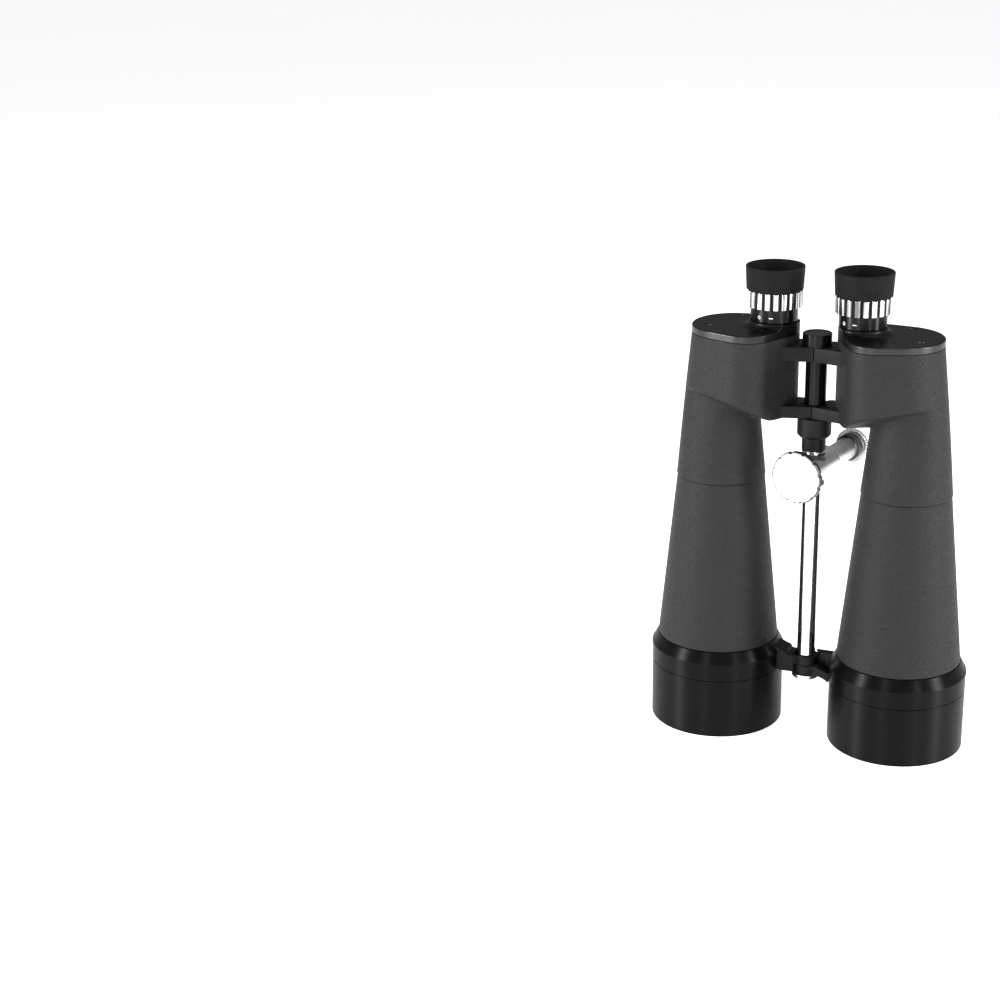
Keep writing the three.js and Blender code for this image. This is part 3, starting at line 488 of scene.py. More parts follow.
def housing_grid(columns=384):
    """Rows run up the outside of the tube, out along the underside, up the drum, over the rim and
    down the inside again. Each point is a distance and a height in its column's own bearing
    from the objective axis."""
    axis = np.array([OBJECTIVE[0], 0.0])
    outline = drum_outline(axis, columns)
    reach = lambda z: np.hypot(*(drum_point(outline, z) - axis).T)
    edge_z = np.full(columns, UNDERSIDE_START)
    for _ in range(12):
        edge = drum_point(outline, edge_z)
        edge_z = 0.5 * edge_z + 0.5 * underside(edge[:, 0], edge[:, 1])
    offset = drum_point(outline, edge_z) - axis
    bearing = np.arctan2(offset[:, 1], offset[:, 0])
    contact_z = np.full(columns, UNDERSIDE_START)
    for _ in range(12):
        x = axis[0] + tube_radius(contact_z) * np.cos(bearing)
        y = tube_radius(contact_z) * np.sin(bearing)
        contact_z = 0.5 * contact_z + 0.5 * underside(x, y)
    row = lambda r, z: np.stack([np.broadcast_to(v, bearing.shape).astype(float) for v in (r, z)], -1)
    edge_r = np.maximum(reach(edge_z), tube_radius(edge_z) + 0.02)
    contact_z = np.minimum(contact_z, edge_z - 0.02)
    lip, contact = row(LIP_RADIUS, SEAM), row(tube_radius(contact_z), contact_z)
    edge = row(edge_r, edge_z)
    rim = row(np.maximum(reach(HOUSING_TOP), tube_radius(HOUSING_TOP)), HOUSING_TOP)
    inside = row(rim[:, 0] - HOUSING_WALL, HOUSING_TOP)
    lip_in = row(MOUTH_RADIUS, SEAM)
    lip_corner = eased_corner(lip_in, lip, contact, 0.45, 5)
    contact_corner = eased_corner(lip, contact, edge, 3.2, 9)
    edge_corner = eased_corner(contact, edge, rim, 3.0, 11)
    rim_corner = eased_corner(edge, rim, inside, 0.5, 5)
    plain = np.clip((edge_r - tube_radius(contact_z)) / PLAIN_REACH, 0, 1)
    plain = (plain * plain * (3 - 2 * plain))[None, :, None]
    w = HOUSING_WALL
    deep = row(edge_r - w, edge_z + w)
    shelf = row(np.minimum(tube_radius(contact_z) - w, edge_r - w - 0.02), contact_z + w)
    outside = np.concatenate([
        lip_corner, (lip + (contact - lip) * 0.004)[None] + np.array([0.0, 0.45]),
        between(lip_corner[-1], contact_corner[0], 26), contact_corner,
        between(contact_corner[-1], edge_corner[0], 5), edge_corner,
        between(edge_corner[-1], rim_corner[0], 18), rim_corner])
    line_z = np.clip(outside[..., 1:], SEAM + 1.0, HOUSING_TOP - 1.0)
    line_share = (line_z - SEAM - 1.0) / (HOUSING_TOP - SEAM - 2.0)
    line_r = (LIP_RADIUS - 0.1) + (rim[None, :, :1] - LIP_RADIUS + 0.1) * line_share
    line_r = line_r + 0.35 * np.sin(np.pi * line_share)
    on_wall = (outside[..., 1:] > SEAM + 1.0) & (outside[..., 1:] < HOUSING_TOP - 1.0)
    outside = np.where(on_wall, np.concatenate(
        [line_r + (outside[..., :1] - line_r) * plain, outside[..., 1:]], -1), outside)
    hollow = np.stack([inside, deep, shelf, row(SCREWED_BORE, 200.0), row(SCREWED_BORE, 194.3),
                       row(MOUTH_RADIUS, 194.3), lip_in])
    rows = np.concatenate([outside, hollow])
    r, z = rows[..., 0], rows[..., 1]
    up = drum_point(outline[None], np.maximum(z, edge_z)) - axis
    turn = np.arctan2(up[..., 1], up[..., 0])
    return np.stack([axis[0] + r * np.cos(turn), r * np.sin(turn), z], -1)


housing = housing_grid()
for half, side in HALVES:
    make_piece(f"{half}_housing", [on_side(housing, side)], leatherette,
               f"{half}_half", [f"{half}_prism_housing"])

# --- Hinge arms. --------------------------------------------------------------------------------
# Two pairs of flat arms grow out of the housings and meet on the hinge shaft. They are cast with
# the housings, left bare of covering and painted.

ARM_LEVELS = ((272.0, 282.0), (232.0, 240.5))
ARM_SPLIT, ARM_REACH, KNUCKLE_BORE, KNUCKLE_RADIUS, KNUCKLE_PLAY = 0.15, 27.0, 4.5, 7.2, 0.15
painted = Finish("dark_painted_casting", Specular_IOR_Level=0.16)
painted.tones(painted.noise(0.005), (0.0048, 0.0048, 0.0050), (0.0070, 0.0070, 0.0073),
              painted.noise(0.0025, 5.0), 0.45, 0.6)
painted.bump(painted.noise(0.0006, 4.0), 0.00005, 0.5)

relief_angle = np.radians(np.linspace(-86.0, 60.0, 18))
relief_arc = np.stack([7.55 * np.cos(relief_angle), 7.55 * np.sin(relief_angle)], -1)
back_edge = np.concatenate([relief_arc, smooth_path([(3.9, 7.0), (5.3, 9.7), (6.6, 11.8), (8.6, 13.0)], 10),
                            [(14.0, 13.0), (21.0, 13.0), (ARM_REACH, 13.0)]])
seat = np.linspace(0.0, 1.0, len(back_edge))
front_x = ARM_SPLIT + (ARM_REACH - ARM_SPLIT) * seat ** 1.25
front_edge = np.stack([front_x, -np.interp(front_x, [ARM_SPLIT, 20.0, ARM_REACH], [9.0, 13.6, 14.2])], -1)
for half, side in HALVES:
    grids = []
    for low, high in ARM_LEVELS:
        middle = (low + high) / 2
        level = ((middle + KNUCKLE_PLAY, high - 0.05) if side < 0 else
                 (low + 0.05, middle - KNUCKLE_PLAY))
        arm = bar(front_edge, back_edge, low, high, 0.45)
        knuckle = rounded([(KNUCKLE_BORE, level[0]), (KNUCKLE_RADIUS, level[0]),
                           (KNUCKLE_RADIUS, level[1]), (KNUCKLE_BORE, level[1])], [0.1, 0.3, 0.3, 0.1], 3)
        web = web_bar((4.6, 7.0, 12.0), (5.0, 6.0, 8.0), *level, 0.3)
        grids += [(on_side(arm, side), False), turned(knuckle, 48), (on_side(web, side), False)]
    make_piece(f"{half}_hinge_arms", grids, painted, f"{half}_half",
               [f"{half}_prism_housing"])

# --- Prisms. ------------------------------------------------------------------------------------
# Two right-angle glass prisms per half, one above and one below a flat plate, each held by a bent
# spring strap. They sit out of sight inside the drum.

prism_glass = Finish("polished_prism_glass", Transmission_Weight=0.9, IOR=1.57)
prism_glass.tones(prism_glass.noise(0.02), (0.86, 0.92, 0.93), (0.92, 0.96, 0.96),
                  prism_glass.noise(0.004), 0.01, 0.06)
spring_steel = Finish("drawn_spring_steel", Metallic=1.0)
spring_steel.tones(spring_steel.noise(0.003), (0.30, 0.30, 0.31), (0.42, 0.42, 0.43),
                   spring_steel.noise(0.0008, 4.0, (1.0, 1.0, 0.1)), 0.25, 0.42)
for half, side in HALVES:
    for node, finish in (("prism_plate", painted), ("front_prism", prism_glass),
                         ("rear_prism", prism_glass), ("front_prism_clip", spring_steel),
                         ("rear_prism_clip", spring_steel)):
        refinish(f"{half}_{node}", finish)

# --- Rear covers. -------------------------------------------------------------------------------
# A cast aluminium lid closes each drum. Its upright side band, away from the hinge, is a lighter metallic
# grey as a painted highlight, and on the hinge side it sweeps up into a raised foot for the eyepiece. Satin
# black enamel.

COVER_FOOT, COVER_TOP, BOSS_TOP = 288.3, 293.2, 297.6
BOSS_RADIUS, BOSS_FLARE = 16.9, 24.0
EYE_X = 30.5
SCREWS = ((73.0, -13.5), (31.0, -16.0), (60.0, 21.5))
SHARP_EDGE = math.radians(40)


def boss_height(r):
    """Height of the cover round the eyepiece: a quarter of an ellipse that climbs from the flat
    top to the foot's upright side."""
    t = np.clip((BOSS_FLARE - r) / (BOSS_FLARE - BOSS_RADIUS), 0, 1)
    return COVER_TOP + 3.9 * (1 - np.sqrt(np.maximum(1 - t ** 2, 0))) * 0.75 + 0.9 * t ** 3


def cover_grid(columns=400):
    """Rows run from the bore over the foot and the flat top, round the rim and back underneath.
    Where the drum's outline comes inside the foot's flare, the rim cuts it off at that height."""
    axis = np.array([EYE_X, 0.0])
    outline = drum_outline(axis, columns)
    reach = np.hypot(*(outline - axis).T)
    bearing = np.arctan2(*(outline - axis).T[::-1])
    bevel = 1.0
    flare = BOSS_FLARE - (BOSS_FLARE - BOSS_RADIUS) * np.sin(np.linspace(np.pi / 2, 0, 16))
    inner = np.array([12.6, 12.6, 15.9, 16.35, 16.7, 16.85, BOSS_RADIUS])
    inner_z = np.array([COVER_FOOT, BOSS_TOP, BOSS_TOP, BOSS_TOP - 0.03, BOSS_TOP - 0.25,
                        BOSS_TOP - 0.6, BOSS_TOP - 0.85])
    top = reach - bevel
    share = np.linspace(0, 1, 40)[1:, None]
    plateau = BOSS_FLARE + (np.maximum(top, BOSS_FLARE) - BOSS_FLARE) * share
    r = np.concatenate([np.repeat(inner[:, None], columns, 1), np.repeat(flare[:, None], columns, 1),
                        plateau])
    z = np.concatenate([np.repeat(inner_z[:, None], columns, 1), boss_height(r[len(inner):])])
    r, z = np.minimum(r, top), np.where(r > top, boss_height(np.maximum(top, BOSS_RADIUS)), z)
    edge_z = z[-1]
    swing = np.linspace(0, np.pi / 2, 7)[1:, None]
    rim_r = top + bevel * np.sin(swing)
    rim_z = edge_z - bevel * (1 - np.cos(swing))
    side_z = edge_z - bevel + (COVER_FOOT + 0.25 - edge_z + bevel) * np.linspace(0.08, 1, 8)[:, None]
    under = np.array([(0.0, COVER_FOOT + 0.12), (0.12, COVER_FOOT), (2.8, COVER_FOOT)])
    r = np.concatenate([r, rim_r, np.repeat(reach[None], 8, 0), reach - under[:, :1]])
    z = np.concatenate([z, rim_z, side_z, np.repeat(under[:, 1:], columns, 1)])
    return np.stack([axis[0] + r * np.cos(bearing), r * np.sin(bearing), z], -1)


cover_satin = Finish("cover_enamel_with_painted_rim_highlight", Specular_IOR_Level=0.12)
facing = cover_satin.node("ShaderNodeSeparateXYZ", {0: cover_satin.node(
    "ShaderNodeNewGeometry").outputs["Normal"]}).outputs["Z"]
where = cover_satin.node("ShaderNodeSeparateXYZ", {0: cover_satin.place})
outward = cover_satin.node("ShaderNodeMath", {0: where.outputs["X"]}, operation="ABSOLUTE").outputs[0]
# Painted highlight: this mask picks the cover's upright side band below the top and away from the hinge,
# which is mixed to a lighter metallic grey.
rim = cover_satin.ramp(facing, 1.0, 0.0, 0.25, 0.8)
for value, low, high, start, end in ((outward, 0.0, 1.0, 24.0 * MM, 42.0 * MM),
                                     (where.outputs["Z"], 1.0, 0.0, (COVER_TOP - 0.1) * MM,
                                      (COVER_TOP + 0.2) * MM)):
    rim = cover_satin.node("ShaderNodeMath", {0: rim, 1: cover_satin.ramp(value, low, high, start, end)},
                           operation="MULTIPLY").outputs[0]
enamel = cover_satin.ramp(cover_satin.noise(0.008), (0.0022, 0.0022, 0.0023), (0.0034, 0.0034, 0.0036))
cover_satin.feed(
    Base_Color=cover_satin.mix(rim, enamel, (0.042, 0.042, 0.043, 1.0)),
    Metallic=cover_satin.ramp(rim, 0.0, 0.85, 0.0, 1.0),
    Roughness=cover_satin.ramp(cover_satin.noise(0.004, 5.0), 0.30, 0.40))
cover_satin.bump(cover_satin.noise(0.0005, 3.0), 0.00002, 0.6)

screw_black = Finish("blackened_screw", Metallic=0.85)
screw_black.tones(screw_black.noise(0.0012), (0.05, 0.05, 0.052), (0.12, 0.12, 0.125),
                  screw_black.noise(0.0006, 4.0), 0.22, 0.38)


def cross_head(centre, top, columns=96):
    """A countersunk head: rings of points round the axis, sunk where they lie in a cross that is
    widest in the middle and slopes down to a point."""
    r = np.concatenate([np.linspace(0.05, 1.9, 26), [2.15, 2.28, 2.35, 2.35, 1.3, 1.3]])
    z = top - np.concatenate([np.zeros(26), [0.02, 0.08, 0.25, 0.5, 1.5, 7.8]])
    turn = np.linspace(0, 2 * np.pi, columns, endpoint=False)
    x, y = r[:, None] * np.cos(turn), r[:, None] * np.sin(turn)
    nearest, along = np.minimum(np.abs(x), np.abs(y)), np.maximum(np.abs(x), np.abs(y))
    slot = np.clip((0.36 - nearest) / 0.12, 0, 1) * np.clip((1.5 - along) / 0.25, 0, 1)
    depth = slot * (0.75 - 0.25 * along)
    depth[26:] = 0
    return np.stack([centre[0] + x, centre[1] + y, z[:, None] - np.maximum(depth, 0)], -1)


def cut_away(piece, tool, title):
    """Cuts the tool's shape out of a piece, and takes the tool away."""
    cut = piece.modifiers.new(title, "BOOLEAN")
    cut.operation, cut.solver, cut.object = "DIFFERENCE", "EXACT", tool
    with bpy.context.temp_override(object=piece, active_object=piece, selected_objects=[piece]):
        bpy.ops.object.modifier_apply(modifier=cut.name)
    bpy.data.objects.remove(tool)


cover = cover_grid()
seat_profile = [(0.01, COVER_TOP - 1.9), (2.5, COVER_TOP - 1.9), (2.5, COVER_TOP - 0.45),
                (3.1, COVER_TOP + 0.3), (3.1, COVER_TOP + 2.0), (0.01, COVER_TOP + 2.0)]
for half, side in HALVES:
    lid = make_piece(f"{half}_cover", [on_side(cover, side)], cover_satin,
                     f"{half}_half", [f"{half}_rear_cover"])
    for number, (x, y) in enumerate(SCREWS, 1):
        seat_tool = make_piece(f"seat_tool_{half}_{number}",
                               [(turned(seat_profile, 48, (side * x, y)), False)],
                               cover_satin, f"{half}_half")
        cut_away(lid, seat_tool, "screw_seat")
        make_piece(f"{half}_screw_{number}", [(cross_head((side * x, y), COVER_TOP - 0.75), False)],
                   screw_black, f"{half}_half",
                   [f"{half}_cover_screw_{number}"])
    lid.data.set_sharp_from_angle(angle=SHARP_EDGE)

# --- Eyepiece tubes. ----------------------------------------------------------------------------
# A turned tube screws into each cover. It is anodised glossy black, and carries a small diamond
# and a minus sign filled with white paint as the focusing marks.

TUBE_RADIUS, TUBE_FOOT, TUBE_STEP = 16.1, 297.9, 307.0
MARK_HEIGHT, MARK_SIZE, DASH_HALF = 301.5, 1.25, 0.16

gloss = Finish("gloss_black_anodised", Specular_IOR_Level=0.2)
gloss.tones(gloss.noise(0.006), (0.0022, 0.0022, 0.0024), (0.0034, 0.0034, 0.0036),
            gloss.noise(0.0007, 4.0, (1.0, 1.0, 6.0)), 0.24, 0.32)
gloss.drawn_out(0.8, UPRIGHT)
gloss.bump(gloss.noise(0.0004, 2.0, (1.0, 1.0, 8.0)), 0.000008, 0.5)

white_fill = Finish("white_paint_fill", Specular_IOR_Level=0.4)
white_fill.tones(white_fill.noise(0.0008), (0.72, 0.72, 0.70), (0.85, 0.85, 0.83),
                 white_fill.noise(0.0005), 0.4, 0.6)

tube_profile = rounded(
    [(10.5, 289.4), (12.2, 289.4), (12.2, TUBE_FOOT), (TUBE_RADIUS, TUBE_FOOT),
     (TUBE_RADIUS, TUBE_STEP), (15.2, TUBE_STEP), (15.2, 313.4), (13.6, 313.4), (13.6, 300.0),
     (10.5, 300.0)], [0.2, 0.2, 0.1, 0.35, 0.5, 0.1, 0.3, 0.3, 0.1, 0.2], 4)


def tube_mark(centre, loop, width, bearing, height, lift=0.05):
    """A painted line on the tube: a flat closed path of (across, up) points, wrapped round the
    tube at a bearing, with a narrow rectangle carried along it."""
    loop = np.asarray(loop, float)
    tangent = np.roll(loop, -1, 0) - np.roll(loop, 1, 0)
    tangent /= np.hypot(*tangent.T)[:, None]
    normal = np.stack([-tangent[:, 1], tangent[:, 0]], -1)
    section = np.array([(-0.5, -lift), (0.5, -lift), (0.5, lift), (-0.5, lift)])
    flat = loop[:, None] + normal[:, None] * (section[:, 0] * width)[None, :, None]
    radius = TUBE_RADIUS + section[:, 1][None, :]
    angle = np.radians(bearing) + flat[..., 0] / TUBE_RADIUS
    return np.stack([centre + radius * np.cos(angle), radius * np.sin(angle),
                     height + flat[..., 1]], -1)


make_pair("eye_tube", tube_profile, 192, EYE_X, gloss, "half", "eyepiece_tube")
corner = np.linspace(0, 2 * np.pi, 48, endpoint=False)
spread = np.abs(np.cos(corner)) + np.abs(np.sin(corner))
diamond = np.stack([np.cos(corner) / spread, MARK_SIZE * np.sin(corner) / spread], -1)
run = np.linspace(-1, 1, 24)
dash = np.stack([MARK_SIZE * np.sin(run * np.pi / 2), 0 * run], -1)
dash = np.concatenate([dash + [0, DASH_HALF], dash[::-1] - [0, DASH_HALF]])
for half, side in HALVES:
    mark_turn = -97.0 if side > 0 else -83.0
    make_piece(f"{half}_focus_marks",
               [tube_mark(side * EYE_X, diamond, 0.5, mark_turn - 30.0, MARK_HEIGHT),
                tube_mark(side * EYE_X, dash, 0.36, mark_turn, MARK_HEIGHT)],
               white_fill, f"{half}_half")

# --- Oculars. -----------------------------------------------------------------------------------
# The lens carrier slides in the tube and holds the field lens, a spacer and the eye lens. Only its
# black top and the coated eye lens show, deep in the eyecup.

carrier_profile = rounded(
    [(11.5, 302.6), (13.3, 302.6), (13.3, 322.4), (15.5, 322.4), (15.5, 323.9), (13.3, 323.9),
     (13.3, 327.0), (9.6, 327.0), (9.6, 325.8), (11.5, 325.8)],
    [0.2, 0.2, 0.1, 0.3, 0.4, 0.2, 0.6, 0.5, 0.1, 0.1], 4)
make_pair("lens_carrier", carrier_profile, 144, EYE_X, satin, "ocular", "ocular_carrier")
EYE_LENS_RADIUS, EYE_LENS_FOOT, EYE_LENS_EDGE, EYE_LENS_SAG = 11.2, 320.5, 323.9, 1.6
eye_lens = lens_profile(EYE_LENS_RADIUS, EYE_LENS_FOOT, EYE_LENS_EDGE, 0.01, EYE_LENS_SAG)
make_pair("eye_glass", eye_lens, 96, EYE_X, coated, "ocular", "eye_lens", False)
for half, side in HALVES:
    refinish(f"{half}_field_lens", coated)
    refinish(f"{half}_ocular_spacer", satin)

# --- Focus rings. -------------------------------------------------------------------------------
# Each eyepiece focuses on its own with a chromed brass ring. Narrow round-bottomed flutes are
# milled between its twenty lands, for grip.

chrome = Finish("bright_chrome", Metallic=1.0)
chrome.tones(chrome.noise(0.005), (0.78, 0.785, 0.79), (0.86, 0.862, 0.865),
             chrome.noise(0.0009, 4.0), 0.08, 0.16)

ring_chrome = Finish("fluted_ring_chrome_painted_flute_shade", Metallic=1.0)
# Painted shade: deep in each flute the colour goes near black and rougher, standing in for the shade in the
# grooves.
painted_flute_shade_mask = ring_chrome.node("ShaderNodeAttribute", attribute_name="painted_flute_shade").outputs["Fac"]
streak = ring_chrome.noise(0.0045, 3.0, (1.0, 1.0, 0.08))
land = ring_chrome.ramp(streak, (0.14, 0.142, 0.145), (0.58, 0.58, 0.585), 0.40, 0.52)
ring_chrome.feed(Base_Color=ring_chrome.mix(painted_flute_shade_mask, land, (0.012, 0.012, 0.012, 1.0)),
                 Roughness=ring_chrome.ramp(painted_flute_shade_mask, 0.13, 0.45, 0.0, 1.0))

RING_FLUTES, FLUTE_DEPTH, LAND_CROWN, RING_WALL = 20, 0.95, 0.10, 17.6


def fluted(profile, depth, columns=800, share=0.48):
    """A turned ring whose outside is cut by flutes. In each of the equal steps round the ring a
    groove with a cosine section takes up the given share, and fades out at the top and bottom."""
    radius, height, cut = np.asarray(profile, float).T
    turn = np.linspace(0, 2 * np.pi, columns, endpoint=False)
    phase = (turn * RING_FLUTES / (2 * np.pi)) % 1.0
    away = np.abs(phase - 0.5) / (share / 2)
    groove = np.where(away < 1, np.sqrt(np.clip(1 - away ** 2, 0, 1)), 0.0)
    crown = LAND_CROWN * (1 - np.clip((np.minimum(phase, 1 - phase)) / (0.5 - share / 2), 0, 1) ** 2)
    r = radius[:, None] - cut[:, None] * (depth * groove + LAND_CROWN - crown)
    # Painted shade mask for the flute bottoms: 1 deep in each groove, 0 on the lands.
    dark = np.clip((groove - 0.35) * 3.0, 0, 1) * cut[:, None]
    grid = np.stack([r * np.cos(turn), r * np.sin(turn), np.repeat(height[:, None], columns, 1)], -1)
    return grid, dark


ring_outline = rounded([(16.55, 307.2), (18.9, 307.2), (18.9, 318.6), (13.7, 318.6), (13.7, 316.5),
                        (16.55, 316.5)], [0.2, 0.35, 0.35, 0.2, 0.1, 0.1], 4)
ring_cut = np.where(ring_outline[:, 0] > RING_WALL, 1.0, 0.0)
for half, side in HALVES:
    grid, dark = fluted(np.column_stack([ring_outline, ring_cut]), FLUTE_DEPTH)
    ring = make_piece(f"{half}_chrome_ring", [grid + np.array([side * EYE_X, 0, 0])],
                      ring_chrome, f"{half}_focus", [f"{half}_focus_ring"])
    ring.data.attributes.new("painted_flute_shade", "FLOAT", "POINT").data.foreach_set("value", dark.ravel())

# --- Eyecups. -----------------------------------------------------------------------------------
# A soft rubber cup is stretched over the focus ring's collar. It widens a little towards its thin
# rim, and shuts out light from the side.

rubber = Finish("soft_black_rubber", Specular_IOR_Level=0.1, Sheen_Weight=0.02, Sheen_Roughness=0.5)
rubber.tones(rubber.noise(0.007, 5.0), (0.0038, 0.0038, 0.0039), (0.0060, 0.0060, 0.0062),
             rubber.noise(0.003, 5.0), 0.62, 0.8)
rubber.bump(rubber.noise(0.0005, 4.0), 0.00004, 0.5)

cup_corners = rounded([(13.7, 318.9), (19.24, 318.9), (20.1, 334.9), (18.75, 334.9), (17.2, 322.4),
                       (16.6, 321.9), (13.7, 321.9)], [0.2, 0.35, 0.5, 0.5, 1.0, 0.2, 0.2], 5)
make_pair("rubber_cup", cup_corners, 192, EYE_X, rubber, "focus", "eyecup")

# --- Hinge shaft and cap. -----------------------------------------------------------------------
# A turned sleeve and pin carry all four arms, and a screwed cap closes the top. Both are anodised
# glossy black.

shaft_profile = rounded(
    [(0.02, 223.3), (4.2, 223.3), (4.2, 240.8), (7.3, 240.8), (7.3, 271.7), (4.2, 271.7),
     (4.2, 287.0), (0.02, 287.0)], [0, 0.2, 0.1, 0.3, 0.3, 0.1, 0.3, 0], 4)
cap_profile = rounded(
    [(4.5, 282.3), (10.0, 282.3), (10.0, 290.6), (8.3, 290.6), (8.3, 290.25), (0.02, 290.25),
     (0.02, 287.3), (4.5, 287.3)], [0.2, 0.35, 0.6, 0.2, 0.2, 0, 0, 0.1], 4)
make_piece("hinge_sleeve", [(turned(shaft_profile, 128), False)], gloss, "left_half",
           ["hinge_shaft"])
make_piece("hinge_cap", [turned(cap_profile, 128)], gloss, "left_half",
           ["hinge_top_cap"])

# --- Rod and its socket. ------------------------------------------------------------------------
# A painted socket below the hinge holds the top of a chromed steel rod. The rod's pin passes
# through both bridge lugs and a domed nut closes it from below; a spring clip stops the post.

PIN_RADIUS, ROD_RADIUS, ROD_FOOT, ROD_TOP = 4.4, 6.5, 55.2, 221.0
CLIP_COLUMNS = 72
socket_profile = rounded(
    [(6.8, 208.0), (8.2, 208.0), (8.2, 217.2), (9.7, 217.2), (11.7, 219.4), (11.7, 231.7),
     (4.5, 231.7), (4.5, 221.3), (6.8, 221.3)], [0.3, 1.0, 0.3, 0.4, 0.8, 0.4, 0.1, 0.1, 0.1], 4)
rod_profile = rounded([(0.02, 38.2), (PIN_RADIUS, 38.2), (PIN_RADIUS, ROD_FOOT), (ROD_RADIUS, ROD_FOOT),
                       (ROD_RADIUS, ROD_TOP), (0.02, ROD_TOP)], [0, 0.3, 0.1, 0.5, 0.4, 0], 4)
nut_profile = rounded([(0.02, 36.2), (4.0, 36.35), (8.2, 37.3), (9.6, 38.6), (9.6, 41.0), (4.7, 41.0),
                       (4.7, 37.9), (0.02, 37.9)], [0, 4.0, 3.0, 0.8, 0.3, 0.1, 0.1, 0], 5)
make_piece("rod_holder", [turned(socket_profile, 128)], painted, "left_half",
           ["rod_socket"])
make_piece("chromed_rod", [(turned(rod_profile, 128), False)], chrome, "left_half",
           ["centre_rod"])

silver = Finish("satin_silver_anodised", Metallic=1.0)
# Painted shade: a band of the post next to the foot ring is mixed to dark grey.
painted_shade_band = silver.node("ShaderNodeAttribute", attribute_name="painted_shade_band").outputs["Fac"]
plain = silver.ramp(silver.noise(0.005), (0.70, 0.70, 0.705), (0.80, 0.80, 0.805))
silver.feed(Base_Color=silver.mix(painted_shade_band, plain, (0.10, 0.10, 0.102, 1.0)),
            Roughness=silver.ramp(silver.noise(0.0006, 4.0), 0.26, 0.36))
silver.bump(silver.noise(0.0003, 2.0), 0.00001, 0.4)
make_piece("domed_nut", [turned(nut_profile, 128)], silver, "left_half",
           ["rod_end_nut"])

clip_turn = np.radians(np.linspace(-62.0, 242.0, CLIP_COLUMNS))
section = rounded([(6.85, 206.75), (8.1, 206.75), (8.1, 207.65), (6.85, 207.65)], 0.15, 3)
clip_grid = np.stack([section[None, :, 0] * np.cos(clip_turn)[:, None],
                      section[None, :, 0] * np.sin(clip_turn)[:, None],
                      np.repeat(section[None, :, 1], CLIP_COLUMNS, 0)], -1)
make_piece("stop_clip", [(clip_grid, False)], spring_steel, "left_half",
           ["rod_stop_clip"])

# --- Tripod post. -------------------------------------------------------------------------------
# A turned aluminium post is bored crosswise for the rod, and slides on it in a nylon liner. A
# knurled foot ring and a brass threaded insert take the tripod's screw.

POST_HEIGHT, POST_TURN = 194.0, math.radians(12.0)
BAND_FROM, BAND_TO, BAND_EDGE = 53.4, 60.2, 0.3
FOOT_RADIUS, FOOT_BORE, FOOT_NEAR, FOOT_FAR = 12.3, 6.7, 60.7, 64.6
KNURL_DEPTH, KNURL_TEETH, KNURL_FROM = 0.55, 36, 11.0
CROSS = np.array([math.cos(POST_TURN), -math.sin(POST_TURN), 0.0])
ALONG = np.array([math.sin(POST_TURN), math.cos(POST_TURN), 0.0])


def along_post(grid):
    """Lays an upright grid down, so that its height runs outward along the post."""
    x, y, z = grid[..., 0:1], grid[..., 1:2], grid[..., 2:3]
    return np.array([0, 0, POST_HEIGHT]) + x * CROSS + z * ALONG - y * np.array([0, 0, 1.0])


post_profile = rounded(
    [(0.02, -15.6), (11.0, -15.6), (11.0, 21.0), (7.8, 27.0), (7.8, 54.0), (9.4, 54.8), (9.4, 60.4),
     (6.4, 60.4), (6.4, 64.6), (0.02, 64.6)], [0, 1.0, 1.2, 2.5, 0.3, 0.4, 0.3, 0.1, 0.3, 0], 5)
post_piece = make_piece("post_body", [(along_post(turned(post_profile, 160)), False)],
                        silver, "post", ["tripod_post"])
bores = ((turned([(0.02, 182.0), (8.6, 182.0), (8.6, 206.0), (0.02, 206.0)], 96), "rod_bore"),
         (along_post(turned([(0.02, -13.0), (4.7, -13.0), (4.7, 0.0), (0.02, 0.0)], 64)), "pad_bore"),
         (along_post(turned([(0.02, -17.0), (3.3, -17.0), (3.3, 0.0), (0.02, 0.0)], 64)), "stud_bore"),
         (along_post(turned([(0.02, 56.3), (5.3, 56.3), (5.3, 66.0), (0.02, 66.0)], 64)), "insert_bore"))
for grid, title in bores:
    tool = make_piece(title, [(grid, False)], silver, "post")
    cut_away(post_piece, tool, title)
post_piece.data.set_sharp_from_angle(angle=SHARP_EDGE)
spots = np.empty(len(post_piece.data.vertices) * 3)
post_piece.data.vertices.foreach_get("co", spots)
reach = (spots.reshape(-1, 3) / MM - np.array([0.0, HINGE_Y, POST_HEIGHT])) @ ALONG
# Painted shade band from 53.4 to 60.2 mm out along the post, next to the foot ring.
shade_band = np.clip((reach - BAND_FROM) / BAND_EDGE, 0, 1) * np.clip((BAND_TO - reach) / BAND_EDGE, 0, 1)
post_piece.data.attributes.new("painted_shade_band", "FLOAT", "POINT").data.foreach_set("value", shade_band)

foot_outline = rounded([(FOOT_BORE, FOOT_NEAR), (FOOT_RADIUS, FOOT_NEAR), (FOOT_RADIUS, FOOT_FAR),
                        (FOOT_BORE, FOOT_FAR)], [0.2, 0.5, 0.5, 0.2], 4)
turn = np.linspace(0, 2 * np.pi, 20 * KNURL_TEETH, endpoint=False)
tooth = KNURL_DEPTH * (np.abs(np.sin(turn * KNURL_TEETH / 2)) ** 0.7 - 1)
foot_r = foot_outline[:, :1] + (foot_outline[:, :1] > KNURL_FROM) * tooth
foot_grid = np.stack([foot_r * np.cos(turn), foot_r * np.sin(turn),
                      np.repeat(foot_outline[:, 1:], len(turn), 1)], -1)
make_piece("knurled_foot", [along_post(foot_grid)], silver, "post",
           ["post_foot_ring"])

